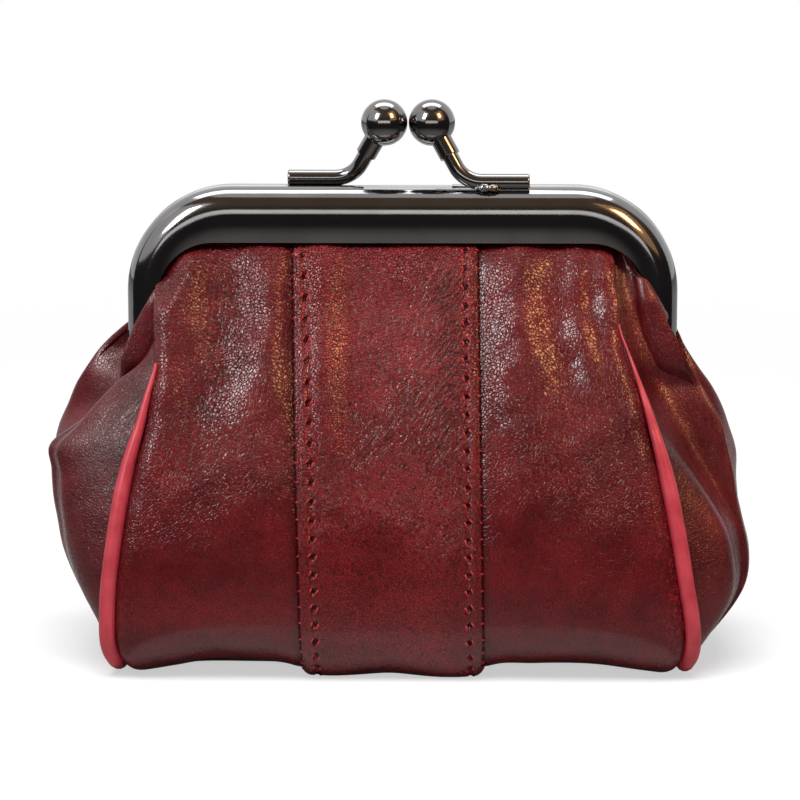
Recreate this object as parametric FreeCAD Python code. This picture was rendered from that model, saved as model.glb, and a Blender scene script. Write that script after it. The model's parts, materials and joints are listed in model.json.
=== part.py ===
"""Kiss lock frame purse: a leather bag on a hinged frame that snaps shut with two balls.

The purse stands on its base with +Z up, its front towards -Y and its width along X.
The origin is the centre of the base, on the table. Lengths are in millimetres.
"""

import FreeCAD, Part
import math
import os

V = FreeCAD.Vector

# Frame: two mirrored halves of bent sheet, each a channel that is open towards the bag. It rises from its hinge.
FRAME_WIDTH = 100.0
FRAME_RISE = 32.7
FRAME_CORNER = 19.0
WINDOW_CORNER = 10.0
BAR_HEIGHT = 9.8
LEG_WIDTH = 5.8
HALF_DEPTH = 6.5
HALF_GAP = 0.3
SHEET = 1.0
FACE_ROUND = 4.6
FACE_BOW = 29.0
PARTING_ROUND = 0.5

# Hinge: an ear on each leg and a rivet through both ears. The swing of each half is in degrees, and so is
# how far round its rim an ear's shoulder starts.
HINGE_HEIGHT = 54.0
SWING = 45.0
EAR_RADIUS = 4.0
EAR_NECK = 3.2
EAR_LAP = 2.0
EAR_SHOULDER = 60.0
EAR_GAP = 0.2
LEG_FOOT_GAP = 0.5
RIVET_RADIUS = 1.2
RIVET_HEAD_RADIUS = 2.3
RIVET_HEAD_HEIGHT = 0.8
RIVET_HEAD_ROUND = 0.55
RIVET_END_PLAY = 0.1
RUNNING_FIT = 0.05
TIGHT_FIT = 0.02

# Kiss lock: a bent post on each half, its ball beside the other half's ball
LOCK_OFFSET = 1.0
BALL_RADIUS = 4.2
BALL_GAP = 0.2
BALL_RISE = 11.4
POST_RADIUS = 1.45
POST_BEND = 5.3
POST_CORNER_REACH = 10.2
POST_FOOT_REACH = 22.0
POST_END_ROUND = 0.35
FOOT_SETBACK = 3.2
SEAT_DEPTH = 0.45
SEAT_CLEARANCE = 0.12
SEAT_FLAT_DEPTH = 0.35
SEAT_FLAT_PAST_CENTRE = 8.0
SEAT_FLAT_WIDTH = 4.4
SOCKET_DEPTH = 2.5
COLLAR_RADIUS = 1.9
COLLAR_LENGTH = 2.8

# What the channel grips: the turned-in leather edge and a paper cord that wedges it
HEM_THICKNESS = 1.2
HEM_LIP_GAP = 0.13
HEM_CORNER_GAP = 0.2
HEM_OVERHANG = 0.85
CORD_GAP = 0.1
CORD_EAR_GAP = 0.8

# Leather bag
BASE_WIDTH = 102.4
BAG_DEPTH = 51.0
BASE_ROUND = 10.0
MOUTH_STEP = 0.35
LEATHER = 1.2
STRIP_WIDTH = 33.5
STRIP_OFFSET = -1.65
STRIP_PROUD = 0.6
SEAM_GAP = 0.1
BASE_SEAM_GAP = 0.1
PANEL_FRAME_GAP = 0.9
PANEL_LEG_GAP = 1.5
PIPING_RADIUS = 1.25
PIPING_SKIN = 0.5
PIPING_GAP = 0.1
PIPING_TOP_BELOW_HINGE = 0.5
GUSSET_BULGE = 13.7
GUSSET_EAR_GAP = 1.5
GUSSET_LEG_GAP = 1.0
GUSSET_TIP_ABOVE_HINGE = 5.0
LINING = 0.4
LINING_GAP = 0.15
LINING_SIDE_INSET = 0.6

# Soft folds of the side panels: how far the leather stands out at the frame, the roundness of a fold, the
# height at which it has died away, and how far beyond the strip's edges the crests lie
FOLD_RISE = 1.6
FOLD_RADIUS = 6.0
FOLD_FOOT = 36.0
FOLD_FADE = 0.1
LEFT_FOLDS = (5.8, 21.5)
RIGHT_FOLDS = (5.6, 17.0)

# Share of the gusset's height, and its share of the full bulge there
GUSSET_SHARES = (
    (0.0, 0.09), (0.07, 0.34), (0.18, 0.62), (0.33, 0.84),
    (0.52, 0.95), (0.69, 1.0), (0.82, 0.74), (1.0, 0.38),
)

# Worked-out places
PART_FACE = HALF_GAP / 2
FRONT_FACE = PART_FACE + HALF_DEPTH
FRAME_TOP = HINGE_HEIGHT + FRAME_RISE
LEG_FOOT = HINGE_HEIGHT + EAR_RADIUS + LEG_FOOT_GAP
WINDOW_TOP = FRAME_TOP - BAR_HEIGHT
WINDOW_HALF = FRAME_WIDTH / 2 - LEG_WIDTH
LIP_FACE = FRONT_FACE - FACE_BOW + math.sqrt((FACE_BOW - SHEET) ** 2 - (BAR_HEIGHT - FACE_ROUND) ** 2)
HEM_FACE = LIP_FACE - HEM_LIP_GAP
HEM_BACK = HEM_FACE - HEM_THICKNESS
CORD_RADIUS = (HEM_BACK - PART_FACE - SHEET) / 2 - CORD_GAP
CORD_INSET = 2 * SHEET + EAR_GAP + CORD_EAR_GAP + CORD_RADIUS
FOOT_HEIGHT = FRAME_TOP + POST_RADIUS - SEAT_DEPTH
FOOT_Y = PART_FACE + FOOT_SETBACK
EDGE_AT_BASE = BASE_WIDTH / 2
EDGE_AT_HINGE = WINDOW_HALF - PANEL_LEG_GAP
EDGE_SLOPE = (EDGE_AT_BASE - EDGE_AT_HINGE) / HINGE_HEIGHT
GUSSET_FOOT = 2 * PIPING_RADIUS + PIPING_GAP
GUSSET_DIP = HINGE_HEIGHT - EAR_RADIUS - GUSSET_EAR_GAP
GUSSET_TIP = HINGE_HEIGHT + GUSSET_TIP_ABOVE_HINGE
FAR = 3 * FRAME_WIDTH


def line(a, b):
    return Part.LineSegment(a, b).toShape()


def arc(a, middle, b):
    return Part.Arc(a, middle, b).toShape()


def prism(wire, direction):
    return Part.Face(wire).extrude(direction)


def front_to_back(shape):
    """The same shape on the other half, mirrored across the parting plane."""
    return shape.mirror(V(0, 0, 0), V(0, 1, 0))


def right_to_left(shape):
    return shape.mirror(V(0, 0, 0), V(1, 0, 0))


# Frame halves

def u_edges(leg_inset, bar_inset, corner, foot=LEG_FOOT):
    """The frame's U outline, inset from its outside, from the left leg's foot to the right's."""
    x = FRAME_WIDTH / 2 - leg_inset
    top = FRAME_TOP - bar_inset
    bend = corner * (1 - math.sqrt(0.5))
    left = [V(-x, 0, foot), V(-x, 0, top - corner), V(-x + bend, 0, top - bend), V(-x + corner, 0, top)]
    right = [V(-p.x, 0, p.z) for p in reversed(left)]
    return [
        line(left[0], left[1]),
        arc(left[1], left[2], left[3]),
        line(left[3], right[0]),
        arc(right[0], right[1], right[2]),
        line(right[2], right[3]),
    ]


def u_region(leg_inset, bar_inset, corner, foot=LEG_FOOT):
    """The closed region inside that outline."""
    edges = u_edges(leg_inset, bar_inset, corner, foot)
    start = V(-FRAME_WIDTH / 2 + leg_inset, 0, foot)
    return Part.Wire(edges + [line(V(-start.x, 0, start.z), start)])


def window_region(gap, foot):
    """The outline of the frame's window down to that foot, smaller by gap on every side."""
    return u_region(LEG_WIDTH + gap, BAR_HEIGHT + gap, WINDOW_CORNER, foot)


def window(gap):
    """A prism through the frame's window, smaller by gap on every side."""
    return prism(window_region(gap, LEG_FOOT), V(0, FAR, 0)).translated(V(0, -FAR / 2, 0))


def channel_section(wall):
    """The front half's section at the left leg's foot, taken in by wall from the outside."""
    reach = BAR_HEIGHT + 2 * SHEET + wall
    near = PART_FACE + wall
    far = FRONT_FACE - wall
    bow_centre = FRONT_FACE - FACE_BOW
    bow = FACE_BOW - wall
    turn = FACE_ROUND - wall

    def at(inward, depth):
        return V(-FRAME_WIDTH / 2 + inward, -depth, LEG_FOOT)

    def bowed(inward):
        return at(inward, bow_centre + math.sqrt(bow**2 - (inward - FACE_ROUND) ** 2))

    ease = PARTING_ROUND if wall == 0 else 0.0
    half = turn * math.sqrt(0.5)
    edges = [
        line(at(wall + ease, near), at(reach, near)),
        line(at(reach, near), bowed(reach)),
        arc(bowed(reach), bowed((reach + FACE_ROUND) / 2), at(FACE_ROUND, far)),
        arc(at(FACE_ROUND, far), at(FACE_ROUND - half, far - turn + half), at(wall, far - turn)),
        line(at(wall, far - turn), at(wall, near + ease)),
    ]
    if ease:
        bend = ease * (1 - math.sqrt(0.5))
        edges.append(arc(at(0, near + ease), at(bend, near + bend), at(ease, near)))
    return Part.Wire(edges)


def channel():
    """The front half's channel, from leg foot to leg foot."""
    path = Part.Wire(u_edges(0, 0, FRAME_CORNER))
    outside = path.makePipeShell([channel_section(0)], True, False)
    hollow = path.makePipeShell([channel_section(SHEET)], True, False)
    return outside.cut(hollow).cut(window(0))


def ear(layer, joggle):
    """A front ear on the left leg, a layer in from the outside, with a neck that joggles out to the wall."""
    x = -FRAME_WIDTH / 2 + layer
    top = LEG_FOOT + EAR_LAP
    disc = Part.makeCylinder(EAR_RADIUS, SHEET, V(x, 0, HINGE_HEIGHT), V(1, 0, 0))
    lean = math.radians(EAR_SHOULDER)
    corners = [
        (-EAR_NECK, HINGE_HEIGHT + math.sqrt(EAR_RADIUS**2 - EAR_NECK**2)),
        (-EAR_NECK, top),
        (-PART_FACE, top),
        (-PART_FACE, LEG_FOOT),
        (EAR_RADIUS * math.cos(lean), HINGE_HEIGHT + EAR_RADIUS * math.sin(lean)),
        (0, HINGE_HEIGHT),
    ]
    neck = Part.makePolygon([V(x, y, z) for y, z in corners + corners[:1]])
    plate = disc.fuse(prism(neck, V(SHEET, 0, 0)))
    if joggle:
        step = Part.makeBox(SHEET + joggle, EAR_NECK - PART_FACE, EAR_LAP, V(x - joggle, -EAR_NECK, LEG_FOOT))
        plate = plate.fuse(step)
    return plate


def rivet_hole(fit):
    return Part.makeCylinder(RIVET_RADIUS + fit, FAR, V(-FAR / 2, 0, HINGE_HEIGHT), V(1, 0, 0))


def post_seat():
    """What the front half's top loses under the front post: a round groove and a shallow flat."""
    foot_end = LOCK_OFFSET + POST_FOOT_REACH + SEAT_CLEARANCE
    start = LOCK_OFFSET - SEAT_FLAT_PAST_CENTRE
    groove = Part.makeCylinder(POST_RADIUS + SEAT_CLEARANCE, POST_FOOT_REACH - POST_CORNER_REACH + POST_BEND,
                               V(foot_end, -FOOT_Y, FOOT_HEIGHT), V(-1, 0, 0))
    flat = Part.makeBox(foot_end - start, SEAT_FLAT_WIDTH + PART_FACE, FAR,
                        V(start, -SEAT_FLAT_WIDTH - PART_FACE, FRAME_TOP - SEAT_FLAT_DEPTH))
    return groove.fuse(flat)


def about_lock(shape):
    """The same shape turned half round the lock's upright axis, so that it suits the rear half."""
    return shape.rotated(V(LOCK_OFFSET, 0, 0), V(0, 0, 1), 180)


def front_frame():
    left = ear(0, 0)
    half = channel().fuse([left, right_to_left(left)])
    return half.cut(post_seat()).cut(rivet_hole(RUNNING_FIT)).removeSplitter()


def rear_frame():
    left = ear(SHEET + EAR_GAP, EAR_GAP + TIGHT_FIT)
    half = channel().fuse([left, right_to_left(left)])
    half = front_to_back(half).cut(about_lock(post_seat()))
    return half.cut(rivet_hole(TIGHT_FIT)).removeSplitter()


def hinge_rivet():
    """The left rivet: its shank runs through both ears, with a rounded head at each end."""
    outer = -FRAME_WIDTH / 2 - RIVET_END_PLAY
    inner = -FRAME_WIDTH / 2 + 2 * SHEET + EAR_GAP + RIVET_END_PLAY
    shank = Part.makeCylinder(RIVET_RADIUS, inner - outer, V(outer, 0, HINGE_HEIGHT), V(1, 0, 0))
    heads = [
        Part.makeCylinder(RIVET_HEAD_RADIUS, RIVET_HEAD_HEIGHT, V(x, 0, HINGE_HEIGHT), V(way, 0, 0))
        for x, way in ((outer, -1), (inner, 1))
    ]
    tips = (outer - RIVET_HEAD_HEIGHT, inner + RIVET_HEAD_HEIGHT)
    rounded = []
    for head, tip in zip(heads, tips):
        rim = [e for e in head.Edges if e.Closed and abs(e.CenterOfMass.x - tip) < TIGHT_FIT]
        rounded.append(head.makeFillet(RIVET_HEAD_ROUND, rim))
    return shank.fuse(rounded).removeSplitter()


def leather_hem():
    """The front panels' turned-in edge, gripped in the front channel and showing a little past its lip."""
    room = FACE_ROUND - SHEET - HEM_CORNER_GAP
    depth = HEM_FACE - (FRONT_FACE - FACE_ROUND)
    inset = FACE_ROUND - math.sqrt(room**2 - depth**2)
    ring = prism(u_region(inset, inset, FRAME_CORNER - inset), V(0, HEM_THICKNESS, 0))
    return ring.translated(V(0, -HEM_FACE, 0)).cut(window(HEM_OVERHANG))


def paper_cord():
    """The twisted paper cord that wedges the hem against the front channel's face."""
    path = Part.Wire(u_edges(CORD_INSET, CORD_INSET, FRAME_CORNER - CORD_INSET))
    y = -(PART_FACE + SHEET + CORD_GAP + CORD_RADIUS)
    start = V(-FRAME_WIDTH / 2 + CORD_INSET, 0, LEG_FOOT)
    section = Part.Wire([Part.makeCircle(CORD_RADIUS, start, V(0, 0, 1))])
    return path.makePipeShell([section], True, False).translated(V(0, y, 0))


# Kiss lock, drawn for the front half, whose post stands on the right

def lock_points():
    """The post's foot end, its corner and the ball's centre."""
    foot = V(LOCK_OFFSET + POST_FOOT_REACH, -FOOT_Y, FOOT_HEIGHT)
    corner = V(LOCK_OFFSET + POST_CORNER_REACH, -FOOT_Y, FOOT_HEIGHT)
    ball = V(LOCK_OFFSET + BALL_RADIUS + BALL_GAP / 2, 0, FRAME_TOP + BALL_RISE)
    return foot, corner, ball


def arm_direction():
    _, corner, ball = lock_points()
    return (ball - corner).normalize()


def lock_post():
    """A round rod: along the frame's top, round a bend, and up into the ball's socket."""
    foot, corner, ball = lock_points()
    along = (corner - foot).normalize()
    up = arm_direction()
    half_turn = along.getAngle(up) / 2
    reach = POST_BEND * math.tan(half_turn)
    inwards = (up - along).normalize()
    middle = corner + inwards * (POST_BEND / math.cos(half_turn) - POST_BEND)
    bend_start = corner - along * reach
    bend_end = corner + up * reach
    tip = ball - up * (BALL_RADIUS - SOCKET_DEPTH)
    path = Part.Wire([line(foot, bend_start), arc(bend_start, middle, bend_end), line(bend_end, tip)])
    section = Part.Wire([Part.makeCircle(POST_RADIUS, foot, along)])
    rod = path.makePipeShell([section], True, False)
    rim = [e for e in rod.Edges if e.Closed and abs(e.CenterOfMass.x - foot.x) < TIGHT_FIT]
    return rod.makeFillet(POST_END_ROUND, rim)


def lock_ball():
    ball = lock_points()[2]
    up = arm_direction()
    socket_end = ball - up * (BALL_RADIUS - SOCKET_DEPTH - TIGHT_FIT)
    socket = Part.makeCylinder(POST_RADIUS + TIGHT_FIT, BALL_RADIUS, socket_end, up * -1)
    return Part.makeSphere(BALL_RADIUS, ball).cut(socket)


def lock_collar():
    """The ferrule under the ball, which covers where the post goes in."""
    ball = lock_points()[2]
    up = arm_direction()
    foot = ball - up * (BALL_RADIUS + COLLAR_LENGTH)
    sleeve = Part.makeCylinder(COLLAR_RADIUS, BALL_RADIUS, foot, up)
    bore = Part.makeCylinder(POST_RADIUS + TIGHT_FIT, 2 * BALL_RADIUS, foot - up, up)
    return sleeve.cut(bore).cut(Part.makeSphere(BALL_RADIUS + TIGHT_FIT, ball))


# Leather bag

class Profile:
    """The front wall's outer line from the side: a long bowed wall, a rounded foot and half of the base."""

    def __init__(self, depth, mouth):
        self.depth = depth
        rise = WINDOW_TOP - BASE_ROUND
        lean = depth - mouth
        self.bow = (lean**2 + rise**2) / (2 * lean)
        self.centre = V(0, self.bow - depth, BASE_ROUND)
        self.foot_centre = V(0, BASE_ROUND - depth, BASE_ROUND)

    def wall(self, inset, height):
        """The point of the wall at that height, inset from its outer face."""
        run = math.sqrt((self.bow - inset) ** 2 - (height - BASE_ROUND) ** 2)
        return V(0, self.centre.y - run, height)

    def foot(self, inset, degrees):
        """A point of the rounded foot: 0 degrees is where the wall ends, 90 where the base starts."""
        turn = math.radians(degrees)
        out = V(0, -math.cos(turn), -math.sin(turn))
        return self.foot_centre + out * (BASE_ROUND - inset)

    def y_at(self, height):
        """How far the outer face stands out at that height."""
        if height >= BASE_ROUND:
            return -self.wall(0, height).y
        return -self.foot_centre.y + math.sqrt(BASE_ROUND**2 - (BASE_ROUND - height) ** 2)

    def edges(self, inset, top, base_end):
        """The line at that inset, from the top of the wall to the end of the base."""
        middle = (top + BASE_ROUND) / 2
        knee = self.foot(inset, 0)
        heel = self.foot(inset, 90)
        return [
            arc(self.wall(inset, top), self.wall(inset, middle), knee),
            arc(knee, self.foot(inset, 45), heel),
            line(heel, V(0, base_end, heel.z)),
        ]

    def sheet(self, outer, inner):
        """A band of the wall between two insets, as wide as the whole bag."""
        end = -BASE_SEAM_GAP / 2
        outside = self.edges(outer, WINDOW_TOP, end)
        inside = self.edges(inner, WINDOW_TOP, end)
        top = line(self.wall(outer, WINDOW_TOP), self.wall(inner, WINDOW_TOP))
        bottom = line(V(0, end, outer), V(0, end, inner))
        outline = Part.Wire(Part.__sortEdges__(outside + inside + [top, bottom]))
        return prism(outline, V(FAR, 0, 0)).translated(V(-FAR / 2, 0, 0))


STRIP = Profile(BAG_DEPTH / 2, HEM_BACK + MOUTH_STEP)
SIDE = Profile(BAG_DEPTH / 2 - STRIP_PROUD, HEM_BACK + MOUTH_STEP - STRIP_PROUD)


def edge_x(height):
    """Half the wall's width at that height: its edges lean in as far as the hinge, then stand upright."""
    return EDGE_AT_BASE - EDGE_SLOPE * min(height, HINGE_HEIGHT)


def between_edges(inset):
    """A block between the wall's two side edges."""
    right = [V(edge_x(z) - inset, 0, z) for z in (-BASE_ROUND, HINGE_HEIGHT, FRAME_TOP)]
    corners = right + [V(-p.x, 0, p.z) for p in reversed(right)]
    return prism(Part.makePolygon(corners + corners[:1]), V(0, FAR, 0)).translated(V(0, -FAR / 2, 0))


def swing_room():
    """What the swinging frame never reaches: the window turned about the hinge, and all that is lower."""
    face = Part.Face(window_region(PANEL_FRAME_GAP, HINGE_HEIGHT))
    turned = face.revolve(V(0, 0, HINGE_HEIGHT), V(1, 0, 0), 360)
    below = Part.makeBox(FAR, FAR, FAR, V(-FAR / 2, -FAR / 2, HINGE_HEIGHT - FAR))
    return turned.fuse(below)


def below_open_legs():
    """What stays under the ears and under the legs of both halves when they are swung right out."""
    turn = math.radians(SWING)
    face = FRONT_FACE + GUSSET_LEG_GAP

    def y_under_leg(height):
        return (face + (height - HINGE_HEIGHT) * math.sin(turn)) / math.cos(turn)

    right = [V(-FAR / 2, y_under_leg(z), z) for z in (GUSSET_DIP, FRAME_TOP)]
    right.append(V(-FAR / 2, right[-1].y, -FAR))
    corners = right + [V(p.x, -p.y, p.z) for p in reversed(right)]
    return prism(Part.makePolygon(corners + corners[:1]), V(FAR, 0, 0))


def fold(x):
    """A fold of the front wall: a rounded ridge up to the frame that sinks into the leather at its foot."""
    middle = (FOLD_FOOT + WINDOW_TOP) / 2
    crests = ((-FOLD_FADE, FOLD_FOOT), (FOLD_RISE * 0.75, middle), (FOLD_RISE, WINDOW_TOP))
    foot, centre, top = [SIDE.wall(FOLD_RADIUS - out, z) + V(x, 0, 0) for out, z in crests]
    path = arc(foot, centre, top)
    along = path.tangentAt(path.FirstParameter)
    section = Part.Wire([Part.makeCircle(FOLD_RADIUS, foot, along)])
    ridge = Part.Wire([path]).makePipeShell([section], True, False)
    return ridge.common(SIDE.sheet(-2 * FOLD_RISE, LEATHER / 2))


def slice_x(wall, low, high):
    return wall.common(Part.makeBox(high - low, FAR, FAR, V(low, -FAR / 2, -FAR / 2)))


def front_panels():
    """The three panels of the front wall: left, centre strip, right."""
    room = between_edges(0).common(swing_room())
    strip = STRIP.sheet(0, LEATHER + STRIP_PROUD).common(room)
    low = STRIP_OFFSET - STRIP_WIDTH / 2
    high = STRIP_OFFSET + STRIP_WIDTH / 2
    folds = [fold(low - past) for past in LEFT_FOLDS] + [fold(high + past) for past in RIGHT_FOLDS]
    side = SIDE.sheet(0, LEATHER).fuse(folds).common(room)
    return {
        "left_panel": slice_x(side, -FAR / 2, low - SEAM_GAP),
        "center_strip": slice_x(strip, low, high),
        "right_panel": slice_x(side, high + SEAM_GAP, FAR / 2),
    }


def front_lining():
    outer = LEATHER + LINING_GAP
    sheet = SIDE.sheet(outer, outer + LINING)
    strip_room = STRIP.sheet(0, LEATHER + STRIP_PROUD + LINING_GAP)
    half = STRIP_WIDTH / 2 + LINING_GAP
    behind_strip = slice_x(strip_room, STRIP_OFFSET - half, STRIP_OFFSET + half)
    return sheet.common(between_edges(LINING_SIDE_INSET)).common(swing_room()).cut(behind_strip)


def piping_cord(radius):
    """A round cord of that radius on the right seam: down the front, under the base and up the back."""
    lean = math.atan(EDGE_SLOPE)
    top = (HINGE_HEIGHT - PIPING_TOP_BELOW_HINGE) / math.cos(lean)
    front = SIDE.edges(PIPING_RADIUS, top, 0)
    back = [front_to_back(e) for e in front]
    path = Part.Wire(Part.__sortEdges__(front + back))
    start = SIDE.wall(PIPING_RADIUS, top)
    along = start - SIDE.centre
    section = Part.Wire([Part.makeCircle(radius, start, V(0, -along.z, along.y))])
    tube = path.makePipeShell([section], True, False)
    tube = tube.rotated(V(0, 0, 0), V(0, 1, 0), -math.degrees(lean))
    lift = PIPING_RADIUS * (1 - math.cos(lean))
    return tube.translated(V(EDGE_AT_BASE + PIPING_GAP + PIPING_RADIUS, 0, lift))


def piping():
    """The leather cover of the right piping."""
    return piping_cord(PIPING_RADIUS).cut(piping_cord(PIPING_RADIUS - PIPING_SKIN))


def piping_core():
    return piping_cord(PIPING_RADIUS - PIPING_SKIN - TIGHT_FIT)


def gusset_band(outer, inner):
    """A band of the right gusset between two insets, lofted through level sections from foot to top."""
    sections = []
    for share, swell in GUSSET_SHARES:
        height = GUSSET_FOOT + share * (GUSSET_TIP - GUSSET_FOOT)
        x = edge_x(height) + 2 * PIPING_GAP + 2 * PIPING_RADIUS
        y = SIDE.y_at(height)
        peak = x + LEATHER + swell * GUSSET_BULGE
        curves = []
        for inset in (outer, inner):
            ends = V(x, inset - y, height), V(x, y - inset, height)
            curves.append((ends[0], arc(ends[0], V(peak - inset, 0, height), ends[1]), ends[1]))
        (a, outside, b), (c, inside, d) = curves
        sections.append(Part.Wire(Part.__sortEdges__([outside, line(b, d), inside, line(c, a)])))
    return Part.makeLoft(sections, True, False).common(below_open_legs())


def right_gusset():
    return gusset_band(0, LEATHER)


def right_gusset_lining():
    outer = LEATHER + LINING_GAP
    return gusset_band(outer, outer + LINING)


def build():
    """Every node's solid by name."""
    post, ball, collar = lock_post(), lock_ball(), lock_collar()
    rivet = hinge_rivet()
    hem, cord = leather_hem(), paper_cord()
    lining, pipe, core = front_lining(), piping(), piping_core()
    gusset, gusset_lining = right_gusset(), right_gusset_lining()
    nodes = {
        "front_frame": front_frame(),
        "rear_frame": rear_frame(),
        "left_hinge_rivet": rivet,
        "right_hinge_rivet": right_to_left(rivet),
        "front_lock_post": post,
        "front_lock_collar": collar,
        "front_lock_ball": ball,
        "rear_lock_post": about_lock(post),
        "rear_lock_collar": about_lock(collar),
        "rear_lock_ball": about_lock(ball),
        "front_leather_hem": hem,
        "rear_leather_hem": front_to_back(hem),
        "front_paper_cord": cord,
        "rear_paper_cord": front_to_back(cord),
        "front_lining": lining,
        "rear_lining": front_to_back(lining),
        "right_piping": pipe,
        "left_piping": right_to_left(pipe),
        "right_piping_core": core,
        "left_piping_core": right_to_left(core),
        "right_gusset": gusset,
        "left_gusset": right_to_left(gusset),
        "right_gusset_lining": gusset_lining,
        "left_gusset_lining": right_to_left(gusset_lining),
    }
    for name, panel in front_panels().items():
        nodes["front_" + name] = panel
        nodes["rear_" + name] = front_to_back(panel)
    return nodes


def main():
    os.makedirs("parts", exist_ok=True)
    for name, shape in build().items():
        if not shape.isValid():
            raise ValueError(name + " is not a valid shape")
        shape.exportStep("parts/" + name + ".step")
        print(f"{name}: {len(shape.Solids)} solid, {shape.Volume:.1f} mm3")


if __name__ == "__main__":
    main()
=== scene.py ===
"""Kiss lock frame purse: its leather, seams, lining, metal finish and stage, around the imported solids."""

import json
import math

import bpy
import numpy as np
from mathutils import Matrix, Vector

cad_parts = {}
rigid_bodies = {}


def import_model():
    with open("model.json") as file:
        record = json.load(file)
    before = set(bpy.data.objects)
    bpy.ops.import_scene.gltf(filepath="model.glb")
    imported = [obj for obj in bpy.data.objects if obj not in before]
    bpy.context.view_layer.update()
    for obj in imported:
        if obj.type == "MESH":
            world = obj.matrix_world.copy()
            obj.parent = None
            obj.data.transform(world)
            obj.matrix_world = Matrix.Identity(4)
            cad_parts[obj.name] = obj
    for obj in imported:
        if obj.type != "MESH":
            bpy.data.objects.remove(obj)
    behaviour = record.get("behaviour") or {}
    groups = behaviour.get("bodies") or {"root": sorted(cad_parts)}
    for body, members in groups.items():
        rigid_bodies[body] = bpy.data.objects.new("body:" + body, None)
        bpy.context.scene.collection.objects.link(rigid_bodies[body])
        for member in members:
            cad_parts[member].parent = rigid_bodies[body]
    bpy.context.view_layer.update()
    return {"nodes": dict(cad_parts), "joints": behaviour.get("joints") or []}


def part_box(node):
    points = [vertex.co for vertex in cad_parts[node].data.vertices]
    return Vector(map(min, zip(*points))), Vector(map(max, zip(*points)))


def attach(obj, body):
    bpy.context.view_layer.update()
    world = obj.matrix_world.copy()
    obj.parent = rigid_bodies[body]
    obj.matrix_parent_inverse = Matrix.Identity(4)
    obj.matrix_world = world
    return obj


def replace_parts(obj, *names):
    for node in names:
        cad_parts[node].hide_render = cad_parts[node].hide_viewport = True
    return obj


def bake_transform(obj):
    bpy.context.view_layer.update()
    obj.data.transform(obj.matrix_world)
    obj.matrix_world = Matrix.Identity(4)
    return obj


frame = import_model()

bl_info = {
    "name": "Kiss Lock Frame Purse",
    "version": (1, 0, 0),
    "blender": (4, 5, 0),
    "location": "View3D > Sidebar > Purse",
    "description": "Dresses the packed purse in leather, thread, lining and dark metal",
    "category": "Object",
}

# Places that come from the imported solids, in millimetres like every size below unless it says otherwise
MM = 0.001


def box_mm(node):
    low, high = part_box(node)
    return low / MM, high / MM


HINGE = next(j for j in frame["joints"] if j["name"] == "front_frame_hinge")["pos_m"][2] / MM
FRAME_TOP = box_mm("front_frame")[1].z
FRAME_HALF = box_mm("front_frame")[1].x
WALL_DEPTH = -box_mm("front_left_panel")[0].y
STRIP_PROUD = -box_mm("front_center_strip")[0].y - WALL_DEPTH

# The two walls with their side of the parting plane, and the two sides with theirs of the middle
FACES = ((-1, "front"), (1, "rear"))
SIGN = {"left": -1, "right": 1}

# The frame's bar and legs, the window they leave, and how far above the hinge they begin to grip the leather
BAR_HEIGHT = 9.8
LEG_WIDTH = 5.8
WINDOW_CORNER = 10.0
LIP = FRAME_TOP - BAR_HEIGHT
WINDOW_HALF = FRAME_HALF - LEG_WIDTH
GRIP_FOOT = 16.5

# The walls from the side: the base's rounding, the bow above it and the top behind the lip
BASE_ROUND = 10.0
WALL_BOW = 115.6
WALL_TOP = LIP + 4.0
# Their least distance from the parting plane, and their most: at the lip, per millimetre from it, and how softly
TUCK_DEPTH = 3.3
LIP_CLEAR, LIP_SLOPE, LIP_SOFT = 4.4, 1.6, 1.2
# The swell beside the lip: its height, and the distances from the lip where it starts, is full and ends
LIP_SWELL, SWELL_SPAN = 1.3, (0.2, 2.2, 13.0)
TABLE_CLEAR = 0.02

# Heights for the leather's turn with a frame half, the walls slowly, the gussets close to the hinge; nothing turns it
WALL_TURNS = (HINGE + 1.0, LIP - 1.0)
GUSSET_TURNS = (HINGE - 4.0, HINGE + 6.0)

# Heights and the piping's distance from the middle there
EDGES = {
    "left": ((0, 51.0), (4, 52.1), (13.3, 52.4), (26.4, 51.0), (38.9, 48.7), (47.4, 46.2), (55.9, 44.4),
             (62, 44.6), (67, 44.6), (72, 44.2), (76, 42.0), (82, 41.0)),
    "right": ((0, 51.2), (4, 52.1), (13, 51.8), (17, 51.1), (27.3, 49.4), (39.9, 46.7), (50.8, 43.4),
              (61.5, 39.8), (67, 39.0), (72, 38.6), (76, 38.0), (82, 37.4)),
    "rear": ((0, 51.1), (4, 51.9), (13.3, 52.0), (26.4, 50.3), (38.9, 47.8), (47.4, 45.6), (55.9, 43.8),
             (62, 43.6), (67, 43.6), (72, 43.4), (76, 42.0), (82, 41.0)),
}
PIPING_TOP = {"left": HINGE + 3.0, "right": HINGE + 9.5, "rear": HINGE + 5.0}

# The centre strip's fold edges at the base and at the lip
STRIP_LEFT = (-17.7, -19.9)
STRIP_RIGHT = (15.0, 13.8)

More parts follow.
